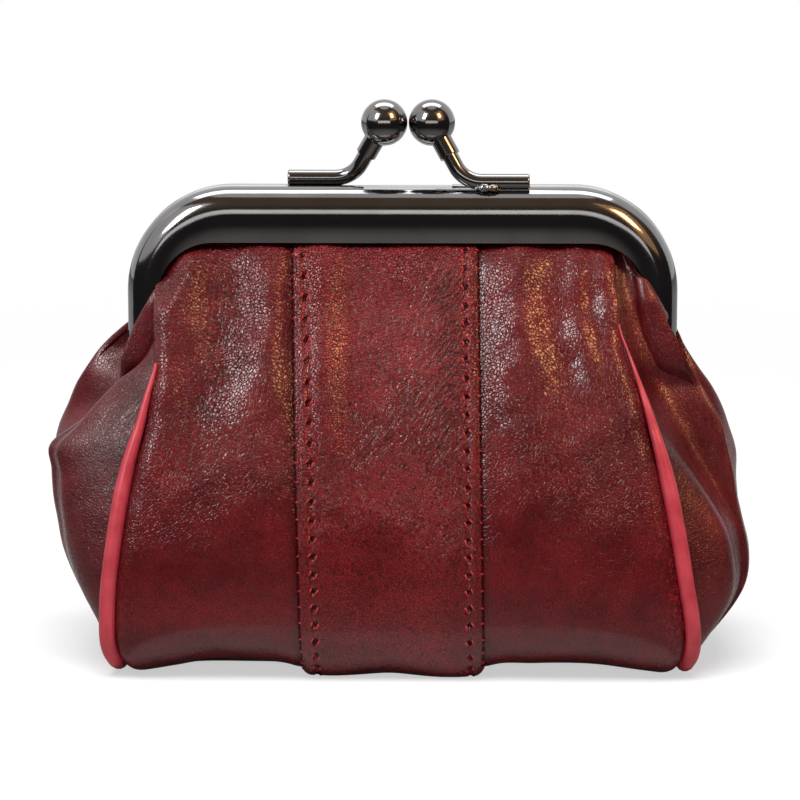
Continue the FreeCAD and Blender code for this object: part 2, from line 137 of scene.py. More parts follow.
# Soft folds of the front wall, from left to right: each line is a crest or a valley, with its x and how far it
# stands out at each of these heights. The rear wall mirrors them, a little weaker.
FOLD_HEIGHTS = (10, 26, 38, 46, 54, 62, 70, 78)
FOLD_LINES = (
    ((-52, -51, -49, -48, -47, -47, -47, -47), (0, 0, 0, 0, 0, 0, 0, 0)),
    ((-45, -45, -45, -44.3, -43.6, -42.8, -41.4, -40), (0, 0.1, 0.4, 0.7, 1.1, 1.3, 1.1, 0.5)),
    ((-38, -38, -38, -36, -33.3, -31.5, -31, -33.5), (0, 0, -0.3, -0.9, -1.2, -1.3, -1.2, -0.8)),
    ((-24, -24, -24, -24.4, -24, -22.8, -22.8, -23.6), (0, 0.2, 0.6, 1.1, 1.4, 1.5, 1.2, 0.6)),
    ((-18, -18, -18.3, -18.5, -18.8, -19, -19.2, -19.4), (0, 0, 0, -0.1, -0.3, -0.4, -0.3, -0.2)),
    ((-13.5, -13.5, -13.8, -14, -14.2, -14.4, -14.4, -14.2), (0, 0.2, 0.5, 0.8, 0.9, 0.9, 0.8, 0.5)),
    ((-8, -8, -8, -8.3, -8.6, -8.8, -8.8, -8.6), (0, 0, -0.2, -0.5, -0.6, -0.6, -0.5, -0.3)),
    ((9, 9, 9, 9, 9.4, 9.5, 9.5, 9.5), (0, 0, 0.1, 0.3, 0.4, 0.4, 0.3, 0.2)),
    ((15, 15, 15, 14.6, 14.4, 14.3, 14, 13.8), (0, 0, 0, -0.1, -0.2, -0.3, -0.3, -0.2)),
    ((24, 24, 23, 22, 21, 20.9, 21, 20.6), (0, 0.1, 0.4, 0.8, 1.2, 1.3, 1.0, 0.5)),
    ((33, 33, 33, 32, 30, 28.4, 27.6, 27.5), (0, 0, 0, -0.4, -0.7, -0.8, -0.8, -0.5)),
    ((38, 38, 37.5, 36.5, 34.4, 32.4, 31.6, 31.2), (0, 0, 0.2, 0.4, 0.5, 0.5, 0.4, 0.2)),
    ((42, 42, 41, 39.8, 37.2, 34.6, 33.9, 34), (0, 0, 0.1, 0.1, 0.05, -0.1, -0.2, -0.2)),
    ((46, 46, 45, 43, 40, 37.6, 36.9, 36.5), (0, 0, 0.1, 0.3, 0.45, 0.6, 0.6, 0.3)),
    ((53, 52, 50, 49, 48, 48, 48, 48), (0, 0, 0, 0, 0, 0, 0, 0)),
)
FRONT_FOLDS, REAR_FOLDS = 0.72, 0.66

# The hide's own slow unevenness beside the strip: each wave's radians per millimetre along x and z, its start and
# its height, then the heights and the distances to the right and left of the middle over which it sets in
HIDE_WAVES = (
    (0.62, 0.41, 0.7, 0.09),
    (0.35, -0.71, 2.1, 0.09),
    (0.95, 0.22, 4.0, 0.06),
    (-0.48, 0.95, 1.3, 0.06),
)
HIDE_RISES, HIDE_RIGHT, HIDE_LEFT = (20, 46), (15, 19), (19.5, 23.5)
# A pressed crease across the front right panel: its two ends, each line's distance from them and depth, a line's
# width, and how far it fades before and after an end
CREASE_ENDS = ((18.0, 46.0), (33.4, 58.8))
CREASE_LINES = ((0.0, 0.30), (1.9, 0.20))
CREASE_WIDTH, CREASE_FADE = 0.75, (1, 6)

# How far the front's lower edge lifts off the table along x, and the height at which the wall forgets it
BASE_LIFT = ((-60, 0.0), (-47, 0.0), (-41, 1.0), (-34, 2.3), (-28, 2.1), (-20, 1.3), (-17, 0.2), (-2, 0.35),
             (14, 0.1), (16, 1.1), (24, 1.7), (35, 1.6), (43, 0.5), (47, 0.0), (60, 0.0))
LIFT_FADES = 15.0

# The gussets' shape: at each height, the distance from the middle of thirteen lines from the front seam to the
# rear one. Lines 4 and 8 are the two lobes and line 6 the fold between them.
GUSSET_HEIGHTS = (1.8, 7, 16, 22, 27, 31, 36, 41, 44.5, 49, 52, 56, 60, 64, 69, 77)
GUSSET_SPREAD = {
    "left": (-1, -0.86, -0.72, -0.58, -0.48, -0.22, 0, 0.22, 0.48, 0.60, 0.70, 0.86, 1),
    "right": (-1, -0.85, -0.67, -0.54, -0.50, -0.22, 0, 0.22, 0.48, 0.60, 0.70, 0.86, 1),
}
GUSSET_NET = {
    "left": (
        (51.0, 51.6, 51.9, 52.0, 52.1, 52.2, 52.2, 52.2, 52.1, 52.0, 51.9, 51.6, 51.0),
        (52.2, 53.2, 53.8, 54.1, 54.4, 54.6, 54.6, 54.6, 54.4, 54.1, 53.8, 53.2, 52.0),
        (52.4, 56.0, 58.0, 58.8, 59.4, 59.9, 60.0, 60.0, 59.7, 59.2, 58.5, 56.6, 51.9),
        (51.8, 56.9, 59.8, 60.8, 61.7, 62.2, 62.2, 62.4, 62.5, 61.8, 61.0, 58.0, 51.2),
        (51.0, 57.0, 60.5, 61.5, 62.6, 63.0, 63.0, 63.4, 63.8, 63.0, 62.3, 58.8, 50.3),
        (50.2, 56.9, 60.9, 62.1, 63.3, 63.2, 62.6, 63.6, 64.8, 64.0, 63.2, 59.3, 49.4),
        (49.2, 56.5, 61.0, 62.3, 63.6, 62.4, 61.2, 63.2, 65.4, 64.6, 63.8, 59.5, 48.5),
        (48.2, 55.0, 61.3, 62.3, 63.4, 59.0, 56.6, 60.0, 64.2, 63.6, 63.0, 58.5, 47.4),
        (47.1, 53.2, 58.3, 57.6, 58.6, 54.0, 51.4, 56.0, 62.4, 62.0, 61.6, 57.4, 46.5),
        (45.3, 50.6, 54.6, 51.0, 53.0, 48.6, 47.0, 52.5, 60.3, 60.0, 59.6, 55.5, 45.3),
        (44.2, 48.2, 51.6, 47.6, 51.4, 46.8, 45.5, 49.5, 58.3, 58.0, 57.8, 53.8, 44.6),
        (43.2, 45.0, 46.8, 45.2, 50.8, 45.6, 44.2, 46.5, 55.3, 55.1, 55.0, 51.0, 43.9),
        (42.8, 43.6, 44.4, 44.2, 49.4, 44.2, 43.4, 44.0, 51.0, 51.0, 51.0, 48.0, 43.7),
        (42.6, 43.2, 43.6, 43.8, 47.4, 43.6, 43.0, 43.4, 46.0, 46.2, 46.5, 45.0, 43.6),
        (42.2, 43.0, 43.0, 43.2, 43.7, 43.2, 43.0, 43.2, 43.4, 43.5, 43.5, 43.6, 43.5),
        (40.8, 41.6, 42.0, 42.2, 42.4, 42.5, 42.5, 42.5, 42.5, 42.5, 42.4, 42.2, 42.0),
    ),
    "right": (
        (51.2, 51.8, 52.0, 52.1, 52.3, 52.4, 52.4, 52.3, 52.2, 52.1, 52.0, 51.7, 51.0),
        (51.9, 54.6, 55.8, 56.4, 56.9, 57.3, 57.3, 56.9, 56.4, 55.9, 55.4, 54.2, 52.0),
        (51.4, 58.5, 60.5, 61.5, 62.6, 63.0, 62.8, 62.5, 62.0, 61.0, 60.0, 57.0, 51.9),
        (50.5, 58.6, 60.2, 61.5, 62.9, 63.3, 62.8, 63.0, 63.0, 61.9, 60.8, 57.3, 51.2),
        (49.6, 57.5, 58.6, 60.2, 61.8, 62.0, 61.5, 62.3, 62.6, 61.5, 60.3, 57.0, 50.3),
        (48.8, 55.5, 56.4, 58.0, 60.8, 60.8, 59.8, 61.5, 62.3, 61.1, 60.0, 56.5, 49.4),
        (47.8, 52.4, 53.4, 55.3, 60.0, 58.5, 57.0, 60.0, 62.2, 61.1, 60.0, 56.5, 48.5),
        (46.6, 49.0, 50.4, 52.6, 58.8, 55.5, 53.8, 57.0, 60.6, 59.7, 58.8, 55.0, 47.4),
        (45.5, 46.8, 48.6, 51.1, 58.0, 52.5, 51.0, 54.5, 59.3, 58.3, 57.4, 53.8, 46.5),
        (43.3, 44.6, 45.8, 48.5, 55.6, 48.5, 47.3, 50.5, 56.8, 55.9, 55.0, 51.5, 45.3),
        (42.0, 43.4, 44.6, 47.2, 53.8, 46.6, 45.6, 48.0, 54.6, 53.8, 53.0, 49.8, 44.6),
        (40.4, 41.8, 43.4, 45.9, 51.5, 45.4, 44.2, 46.0, 52.0, 51.2, 50.5, 47.5, 43.9),
        (39.0, 40.5, 42.6, 45.3, 49.6, 44.2, 43.4, 44.0, 50.0, 49.2, 48.5, 46.0, 43.7),
        (37.9, 39.6, 41.8, 44.3, 47.2, 43.8, 43.0, 43.5, 46.5, 46.0, 45.5, 44.5, 43.6),
        (37.2, 38.9, 40.6, 42.6, 44.2, 43.0, 43.0, 43.0, 43.5, 43.5, 43.5, 43.5, 43.5),
        (36.4, 38.0, 39.8, 39.1, 38.5, 41.8, 42.2, 42.2, 42.2, 42.2, 42.2, 42.2, 42.0),
    ),
}
# Above the hinge the two lobes pass in front of and behind the legs: the heights between which they do, the lobe's
# distance from the parting plane at the leg's foot, above it and at the lip, and its inner side's
LEG_CLEAR = {"left": (50.0, 56.0, 67.5, 71.0), "right": (50.0, 56.0, 78.0, 80.0)}
LOBE_AT_LEG = (8.2, 7.1, 4.6)
LOBE_INSIDE = (6.9, 3.6)
LOBE_NARROWS, LOBE_TUCKS = (56, 66), (LIP - 11, LIP - 3)
# The lines of each half from its seam to the inner side of its lobe, and how far the front half sinks between them
GUSSET_HALVES = ((-1, range(0, 6)), (1, range(12, 6, -1)))
GUSSET_HOLLOW = {"left": 0.0, "right": 1.0}
# How much of a lining's inset each of those lines takes towards the parting plane
GUSSET_TURN_IN = (0.9, 0.9, 0.9, 0.9, 0.3, -0.6, 0.0, -0.6, 0.3, 0.9, 0.9, 0.9, 0.9)
# How far a gusset's edge lies behind the wall, below and above the hinge, and a panel's edge beside the piping
GUSSET_SHY = (1.5, 3.0)
PANEL_SHY, SHY_FADES = 1.15, (42.0, 54.0)

# The lining: its distance inside the leather's outer face and from the piping, and the share of a wall's line and
# of a gusset's girth and height where it starts and that it takes up
LINING_INSET = {"wall": 1.7, "gusset": 1.75}
LINING_SHY = 3.4
LINED_WALL = (0.06, 0.9)
LINED_GIRTH, LINED_HEIGHT = (0.04, 0.46), (0.03, 0.49)

# Columns and rows of the sheets
PANEL_GRID = (44, 132)
STRIP_GRID = (100, 420)
GUSSET_GRID = (60, 110)
LINING_GRID = {"wall": (60, 80), "gusset": (40, 70)}
HEM_GRID = (220, 4)


# Curves and surfaces in millimetres

def curve(table, at):
    """The value at a key, on a smooth line through (key, value) points."""
    keys, values = np.array(table, float).T
    slopes = np.gradient(values, keys)
    i = np.clip(np.searchsorted(keys, at) - 1, 0, len(keys) - 2)
    span = keys[i + 1] - keys[i]
    t = np.clip((at - keys[i]) / span, 0, 1)
    near = (1 + 2 * t) * values[i] + t * span * slopes[i]
    far = (3 - 2 * t) * values[i + 1] - (1 - t) * span * slopes[i + 1]
    return (1 - t) ** 2 * near + t**2 * far


def at_heights(heights, values, z):
    return curve(list(zip(heights, values)), z)


def ease(at, low, high):
    """0 below low, 1 above high, and smooth between."""
    t = np.clip((at - low) / (high - low), 0, 1)
    return t * t * (3 - 2 * t)


def hump(at, middle, width):
    """1 in the middle and next to nothing two widths away."""
    return np.exp(-(((at - middle) / width) ** 2))


def soft_min(a, b, width):
    return -width * np.logaddexp(-a / width, -b / width)


def wall_length():
    """The length of the wall's line from the base's middle to its top."""
    rise = WALL_BOW * math.asin((WALL_TOP - BASE_ROUND) / WALL_BOW)
    return WALL_DEPTH - BASE_ROUND + BASE_ROUND * math.pi / 2 + rise


def profile(share):
    """The wall's outer line from the base's middle to behind the lip: y, z and its outward normal."""
    flat = WALL_DEPTH - BASE_ROUND
    quarter = BASE_ROUND * math.pi / 2
    run = np.asarray(share, float) * wall_length()
    turn = np.clip((run - flat) / BASE_ROUND, 0, math.pi / 2)
    lean = np.maximum(run - flat - quarter, 0) / WALL_BOW
    y = -np.minimum(run, flat) - BASE_ROUND * np.sin(turn) + WALL_BOW * (1 - np.cos(lean))
    z = BASE_ROUND * (1 - np.cos(turn)) + WALL_BOW * np.sin(lean)
    ny = -np.where(lean > 0, np.cos(lean), np.sin(turn))
    nz = np.where(lean > 0, np.sin(lean), -np.cos(turn))
    return y, z, ny, nz


def window_room(x, z):
    """The distance to the frame's lip, negative behind it. Below the grip's foot it is the distance to that foot."""
    centre = WINDOW_HALF - WINDOW_CORNER
    cx = np.maximum(np.abs(x) - centre, 0)
    cz = np.maximum(z - (LIP - WINDOW_CORNER), 0)
    corner = WINDOW_CORNER - np.hypot(cx, cz)
    inside = np.minimum(WINDOW_HALF - np.abs(x), LIP - z)
    room = np.where((cx > 0) & (cz > 0), corner, inside)
    below = np.maximum(HINGE + GRIP_FOOT - z, 0)
    return np.where(below > 0, np.hypot(np.maximum(room, 0), below), room)


def edge_at(side, z):
    """The piping's distance from the middle, on one side of the front or on the rear."""
    return curve(EDGES[side], z)


def panel_edge(side, face, z):
    """The panel's own edge, beside the piping and over it where the piping slips behind."""
    return edge_at(side if face < 0 else "rear", z) - PANEL_SHY * (1 - ease(z, *SHY_FADES))


def fold_depth(x, z, face):
    """How far the folds stand the leather out at that place."""
    lines = [[at_heights(FOLD_HEIGHTS, row, z) for row in line] for line in FOLD_LINES]
    depth = np.zeros_like(x)
    for (x0, out0), (x1, out1) in zip(lines, lines[1:]):
        between = out0 + (out1 - out0) * ease((x - x0) / (x1 - x0), 0, 1)
        depth = np.where((x >= x0) & (x < x1), between, depth)
    depth = depth * (FRONT_FOLDS if face < 0 else REAR_FOLDS)
    waves = sum(h * np.sin(a * x + b * z + start) for a, b, start, h in HIDE_WAVES)
    depth = depth + waves * ease(z, *HIDE_RISES) * (ease(x, *HIDE_RIGHT) + ease(-x, *HIDE_LEFT))
    if face < 0:
        (x0, z0), (x1, z1) = CREASE_ENDS
        run = math.hypot(x1 - x0, z1 - z0)
        along = ((x - x0) * (x1 - x0) + (z - z0) * (z1 - z0)) / run
        aside = ((z - z0) * (x1 - x0) - (x - x0) * (z1 - z0)) / run
        pressed = sum(deep * hump(aside, -off, CREASE_WIDTH) for off, deep in CREASE_LINES)
        before, after = CREASE_FADE
        depth = depth - pressed * ease(along, -before, after) * (1 - ease(along, run - after, run + before))
    return depth


def wall_point(x, share, out, face, inset=0.0):
    """Points of the front (face -1) or rear wall, that far out from the panels' plain line, or inset from there."""
    y, z, ny, nz = profile(share)
    lift = curve(BASE_LIFT, x if face < 0 else -0.8 * x) * (1 - ease(z, 0, LIFT_FADES)) * ease(-y, 8, 18)
    room = window_room(x, z)
    start, full, end = SWELL_SPAN
    swell = LIP_SWELL * ease(room, start, full) * (1 - ease(room, full, end)) * ease(z, HINGE, HINGE + 10)
    out = out + fold_depth(x, z, face) + swell
    limit = LIP_CLEAR + LIP_SLOPE * np.maximum(room, 0)
    depth = np.maximum(soft_min(-(y + ny * out), limit, LIP_SOFT), TUCK_DEPTH)
    depth = np.where(z > HINGE - 4, depth, -(y + ny * out)) + ny * inset
    z = z + nz * (out - inset) + lift
    return np.stack([x, -depth if face < 0 else depth, np.maximum(z, TABLE_CLEAR)], axis=-1)


# Modelling

def deselect():
    bpy.ops.object.select_all(action="DESELECT")


def apply_modifier(piece, kind, **settings):
    """Adds a modifier to the active piece and applies it."""
    bpy.ops.object.modifier_add(type=kind)
    modifier = piece.modifiers[-1]
    for key, value in settings.items():
        setattr(modifier, key, value)
    bpy.ops.object.modifier_apply(modifier=modifier.name)


def leather_sheet(name, grid, place, thickness, rounds=1, marks=None, even=True):
    """A grid of columns and rows shaped by place(u, v), given its thickness inwards and its edges rounded. Its
    marks(u, v, points) are values that the finish reads."""
    deselect()
    bpy.ops.mesh.primitive_grid_add(x_subdivisions=grid[0], y_subdivisions=grid[1], size=2.0)
    piece = bpy.context.object
    piece.name = piece.data.name = name
    flat = np.empty(len(piece.data.vertices) * 3)
    piece.data.vertices.foreach_get("co", flat)
    u, v = ((flat.reshape(-1, 3)[:, :2] + 1) / 2).T
    points = place(u, v)
    piece.data.vertices.foreach_set("co", (points * MM).ravel())
    for mark, values in (marks(u, v, points) if marks else {}).items():
        piece.data.attributes.new(mark, "FLOAT", "POINT").data.foreach_set("value", values.astype(np.float32))
    piece.data.update()
    apply_modifier(piece, "SOLIDIFY", thickness=thickness * MM, offset=-1.0, use_even_offset=even)
    if rounds:
        apply_modifier(piece, "SUBSURF", levels=rounds, render_levels=rounds)
    bpy.ops.object.shade_smooth()
    return piece


def dress(piece, finish):
    """The piece with that finish as its only material."""
    piece.data.materials.clear()
    piece.data.materials.append(finish)
    return piece


def turn_with(piece, span):
    """Bakes the piece's placement into its mesh; nothing bends it with a frame half. Its heights are not used."""
    low, high = (z * MM for z in span)
    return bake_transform(piece)


# Shader nodes

class Value:
    """A shader socket that takes part in sums."""

    def __init__(self, tree, socket):
        self.tree, self.socket = tree, socket

    def math(self, operation, *terms):
        node = self.tree.nodes.new("ShaderNodeMath")
        node.operation = operation
        for slot, term in zip(node.inputs, terms):
            if isinstance(term, Value):
                self.tree.links.new(term.socket, slot)
            else:
                slot.default_value = term
        return Value(self.tree, node.outputs[0])

    def __add__(self, other):
        return self.math("ADD", self, other)

    __radd__ = __add__

    def __sub__(self, other):
        return self.math("SUBTRACT", self, other)

    def __rsub__(self, other):
        return self.math("SUBTRACT", other, self)

    def __mul__(self, other):
        return self.math("MULTIPLY", self, other)

    __rmul__ = __mul__

    def __pow__(self, other):
        return self.math("POWER", self, other)

    def over(self, other):
        return self.math("MAXIMUM", self, other)

    def under(self, other):
        return self.math("MINIMUM", self, other)

    def between(self, low, high):
        """0 at low, 1 at high, smooth between."""
        node = self.tree.nodes.new("ShaderNodeMapRange")
        node.interpolation_type = "SMOOTHSTEP"
        self.tree.links.new(self.socket, node.inputs["Value"])
        node.inputs["From Min"].default_value = low
        node.inputs["From Max"].default_value = high
        return Value(self.tree, node.outputs["Result"])


class Shading:
    """A node tree that is written down piece by piece."""

    def __init__(self, owner):
        owner.use_nodes = True
        self.tree = owner.node_tree

    def node(self, kind, settings=None, sockets=None):
        """A node of that kind, its settings first and then its sockets' values or links."""
        made = self.tree.nodes.new("ShaderNode" + kind)
        for key, value in (settings or {}).items():
            setattr(made, key, value)
        for key, value in (sockets or {}).items():
            self.feed(made, key, value)
        return made

    def feed(self, node, key, value):
        socket = node.inputs[key]
        if isinstance(value, Value):
            value = value.socket
        if isinstance(value, bpy.types.NodeSocket):
            self.tree.links.new(value, socket)
        else:
            socket.default_value = value

    def value(self, node, output=0):
        return Value(self.tree, node.outputs[output])

    def places(self, scale=(1, 1, 1), turn=(0, 0, 0)):
        """Object coordinates, stretched and turned."""
        where = self.node("TexCoord").outputs["Object"]
        return self.node("Mapping", None, {"Vector": where, "Scale": scale, "Rotation": turn}).outputs["Vector"]

    def noise(self, where, scale, detail=2.0, roughness=0.5):
        return self.value(self.node("TexNoise", None, {
            "Vector": where, "Scale": scale, "Detail": detail, "Roughness": roughness}), "Fac")

    def cells(self, where, scale):
        """The distance from the edges between cells."""
        return self.value(self.node("TexVoronoi", {"feature": "DISTANCE_TO_EDGE"}, {
            "Vector": where, "Scale": scale}), "Distance")

    def bands(self, where, scale, distortion, detail=1.0, way="X"):
        """Soft parallel bands across that way."""
        return self.value(self.node("TexWave", {"wave_type": "BANDS", "bands_direction": way}, {
            "Vector": where, "Scale": scale, "Distortion": distortion, "Detail": detail}), "Fac")

    def far(self, where):
        """The distance from the origin."""
        return self.value(self.node("VectorMath", {"operation": "LENGTH"}, {0: where}), "Value")

    def tilted_cells(self, where, scale):
        """A height that leans each cell its own way, about its own middle."""
        cell = self.node("TexVoronoi", {"feature": "F1"}, {"Vector": where, "Scale": scale})
        off = self.node("VectorMath", {"operation": "SUBTRACT"}, {0: where, 1: cell.outputs["Position"]})
        lean = self.node("VectorMath", {"operation": "SUBTRACT"}, {0: cell.outputs["Color"], 1: (0.5, 0.5, 0.5)})
        tilt = self.node("VectorMath", {"operation": "DOT_PRODUCT"}, {0: off.outputs[0], 1: lean.outputs[0]})
        return self.value(tilt, "Value") * scale

    def mark(self, name):
        return self.value(self.node("Attribute", {"attribute_name": name}), "Fac")

    def mix(self, share, a, b):
        """Colour a where share is 0 and colour b where it is 1."""
        node = self.node("Mix", {"data_type": "RGBA"}, {0: share, 6: a, 7: b})
        return node.outputs[2]

    def bump(self, height, strength, distance, under=None):
        sockets = {"Height": height, "Strength": strength, "Distance": distance * MM}
        if under is not None:
            sockets["Normal"] = under
        return self.node("Bump", None, sockets).outputs["Normal"]


class Finish(Shading):
    """A material on the standard surface shader."""

    def __init__(self, name):
        self.material = bpy.data.materials.new(name)
        super().__init__(self.material)
        self.surface = self.tree.nodes["Principled BSDF"]

    def set(self, **sockets):
        for key, value in sockets.items():
            self.feed(self.surface, key.replace("_", " ").title().replace("Ior", "IOR"), value)
        return self


def rgb(colour):
    return (*colour, 1.0)


def darker(colour, share):
    return rgb([c * share for c in colour])


# Grains in a metre for a pebble of one millimetre, and how far in metres their edges wander
GRAINS, FINE_GRAINS, GRAIN_DRIFT = 1000.0, 2600.0, 0.0011
# How much paler than bright leather the painted sheen on a grain's top is, and the colour of a scuffed edge
GRAIN_SHEEN_TINT = (1.9, 8.0, 7.0)
SCUFFED = (0.52, 0.03, 0.035, 1.0)


def leather_finish(name, shades, pebble, gloss, relief, wrinkles=0.0, slant=57, grain_sheen=0.16, crack_dye_and_shade=0.55):
    """Pebbled leather: glossy flat-topped grains with fine dark lines between them, mottled dye and scuffed edges.
    The slant turns its wrinkles, in degrees. The grain sheen paints a pale highlight on the tops of single grains;
    the crack dye and shade darkens the lines between grains, partly their own darker colour and partly painted
    shade. It also paints shade in the valleys between wrinkles and wherever the mesh marks painted shade."""
    deep, bright = shades
    leather = Finish(name)
    where = leather.places()
    drift = leather.node("TexNoise", None, {"Vector": where, "Scale": 260.0, "Detail": 2.0}).outputs["Color"]
    bent = leather.node("VectorMath", {"operation": "MULTIPLY_ADD"}, {
        0: drift, 1: (GRAIN_DRIFT,) * 3, 2: where}).outputs[0]
    grain = leather.cells(bent, GRAINS / pebble)
    tops = grain.between(0.0, 0.14)
    domes = grain.between(0.0, 0.5)
    fine_tops = leather.cells(bent, FINE_GRAINS / pebble).between(0.0, 0.22)
    facet = leather.tilted_cells(bent, GRAINS / pebble)
    patch = leather.noise(where, 45.0, 3.0).between(0.38, 0.66)
    mottle = leather.noise(where, 120.0, 4.0, 0.6)
    slack = leather.mark("slack") * (0.5 + 0.5 * patch)
    height = (tops * 0.5 + domes * 0.25 + facet) * slack + fine_tops * slack * 0.04 + mottle * 0.25
    if wrinkles:
        wrinkle = leather.mark("wrinkle")
        turned = leather.places(turn=(0.0, math.radians(slant), 0.0))
        stretched = leather.node("Mapping", None, {"Vector": turned, "Scale": (0.16, 1.0, 1.0)}).outputs["Vector"]
        ridges = leather.noise(stretched, 1250.0, 2.0).between(0.42, 0.6)
        height = height + ridges * wrinkle * wrinkles
    normal = leather.bump(height, relief, 0.18 * pebble)
    normal = leather.bump(leather.noise(where, 150.0, 2.0), 0.25, 0.35, normal)
    shade = leather.value(leather.node("TexVoronoi", {"feature": "F1"}, {
        "Vector": bent, "Scale": GRAINS / pebble}), "Color")
    # Painted sheen: the tops of single grains, picked at random, turn pale towards a pinkish highlight
    grain_sheen_mask = grain.between(0.06, 0.34) * shade.between(0.1, 0.9) * leather.mark("slack")
    # Painted shade together with the grain's own darker colour: the lines between grains darken towards a deep shade
    crack_dye_and_shade_mask = (1.0 - grain.between(0.0, 0.10 + 0.16 * crack_dye_and_shade)) * crack_dye_and_shade
    worn = leather.mark("scuff") * leather.noise(where, 1300.0, 3.0, 0.7).between(0.5, 0.66)
    colour = leather.mix(mottle.between(0.3, 0.72), rgb(deep), rgb(bright))
    colour = leather.mix(grain_sheen_mask * grain_sheen, colour, rgb([c * k for c, k in zip(bright, GRAIN_SHEEN_TINT)]))
    colour = leather.mix(crack_dye_and_shade_mask, colour, darker(deep, 0.22))
    if wrinkles:
        # Painted shade in the valleys between wrinkle ridges
        colour = leather.mix((1.0 - ridges) * wrinkle.under(1.0) * 0.55, colour, darker(deep, 0.3))
    colour = leather.mix(worn * 0.8, colour, SCUFFED)
    # Painted shade wherever the mesh's painted shade mark lies: under folds, in gaps and stitch holes, and below the
    # lip
    colour = leather.mix(leather.mark("crease"), colour, darker(deep, 0.12))
    rough = gloss + (1.0 - tops) * 0.08 + leather.noise(where, 60.0, 2.0) * 0.06
    leather.set(base_color=colour, roughness=rough, normal=normal, ior=1.5)
    return leather.material


def piping_finish(name, deep, bright):
    """Smooth dyed leather round a cord, a little uneven in its dye."""
    piping = Finish(name)
    where = piping.places()
    grain = piping.cells(where, 2400.0).between(0.0, 0.3)
    mottle = piping.noise(where, 240.0, 4.0, 0.6)
    colour = piping.mix(mottle.between(0.3, 0.7), rgb(deep), rgb(bright))
    normal = piping.bump(grain * 0.4 + mottle, 0.3, 0.05)
    piping.set(base_color=colour, roughness=0.34 + mottle * 0.16, normal=normal, ior=1.5, coat_weight=0.1,
               coat_roughness=0.3)
    return piping.material


def gunmetal_finish(name, tone, rough, rolled=None):
    """Dark plated metal with faint handling marks. A rolled face turns in over that distance from the frame's lip,
    by that slope at the lip."""
    metal = Finish(name)
    where = metal.places()
    haze = metal.noise(where, 90.0, 3.0)
    scratch = metal.noise(metal.places((0.05, 1.0, 1.0), (0.0, 0.4, 0.5)), 5200.0, 2.0).between(0.56, 0.72)
    normal = metal.bump(metal.noise(where, 70.0, 1.0), 0.04, 0.6)
    if rolled:
        width, slope = rolled
        at = metal.node("SeparateXYZ", None, {0: where})
        x, z = metal.value(at, "X"), metal.value(at, "Z")
        aside = (x.math("ABSOLUTE", x) - (WINDOW_HALF - WINDOW_CORNER) * MM).over(0.0)
        above = (z - (LIP - WINDOW_CORNER) * MM).over(0.0)
        past_lip = (aside * aside + above * above) ** 0.5 - WINDOW_CORNER * MM
        inward = (width * MM - past_lip).over(0.0)
        normal = metal.bump(inward * inward * (-500.0 * slope / width), 1.0, 1000.0, normal)
    colour = metal.mix(haze.between(0.35, 0.7), rgb(tone), darker(tone, 0.82))
    metal.set(base_color=colour, metallic=1.0, roughness=rough + haze * 0.05 + scratch * 0.04, normal=normal)
    return metal.material


def thread_finish(name, colour):
    """Waxed thread with its twist."""
    thread = Finish(name)
    twist = thread.bands(thread.places(turn=(0.4, 0.5, 0.0)), 700.0, 1.5)
    thread.set(base_color=thread.mix(twist, darker(colour, 0.55), rgb(colour)),
               roughness=0.5 + twist * 0.1, normal=thread.bump(twist, 0.6, 0.08))
    return thread.material


def woven_finish(name, colour, pitch):
    """Plain woven cloth, its threads that many millimetres apart."""
    cloth = Finish(name)
    where = cloth.places()
    warp, weft = (cloth.bands(where, 314.0 / pitch, 0.6, way=way) for way in ("X", "Z"))
    weave = warp * weft
    slub = cloth.noise(where, 300.0, 3.0)
    cloth.set(base_color=cloth.mix(weave * 0.6 + slub * 0.4, darker(colour, 0.45), rgb(colour)),
              roughness=0.75 + slub * 0.15, normal=cloth.bump(weave, 0.4, 0.08))
    return cloth.material


def paper_finish(name, colour):
    """Twisted kraft paper."""
    paper = Finish(name)
    fibre = paper.noise(paper.places((1.0, 1.0, 0.25)), 2200.0, 4.0)
    twist = paper.bands(paper.places(), 260.0, 2.0, detail=2.0)
    paper.set(base_color=paper.mix(fibre * twist, darker(colour, 0.6), rgb(colour)),
              roughness=0.8 + fibre * 0.1, normal=paper.bump(twist, 0.4, 0.1))
    return paper.material


# Settings

def length(name, description, default):
    return bpy.props.FloatProperty(name=name, description=description, default=default * MM, unit="LENGTH")


def tint(name, description, default):
    return bpy.props.FloatVectorProperty(
        name=name, description=description, default=default, size=3, subtype="COLOR", min=0.0, max=1.0)


class PurseSizes(bpy.types.PropertyGroup):
    leather: length("Leather", "Thickness of the panels' leather", 1.15)
    lining: length("Lining", "Thickness of the lining cloth", 0.4)
    piping: length("Piping", "Radius of the piping where it is thickest", 1.5)
    pebble: length("Pebble", "Size of a grain on the side panels", 0.58)
    strip_pebble: length("Strip pebble", "Size of a grain on the centre strip", 0.48)
    thread: length("Thread", "Radius of the sewing thread", 0.27)
    stitch_top: length("Top stitch pitch", "Distance between stitches near the frame", 3.95)
    stitch_base: length("Base stitch pitch", "Distance between stitches near the base", 3.0)


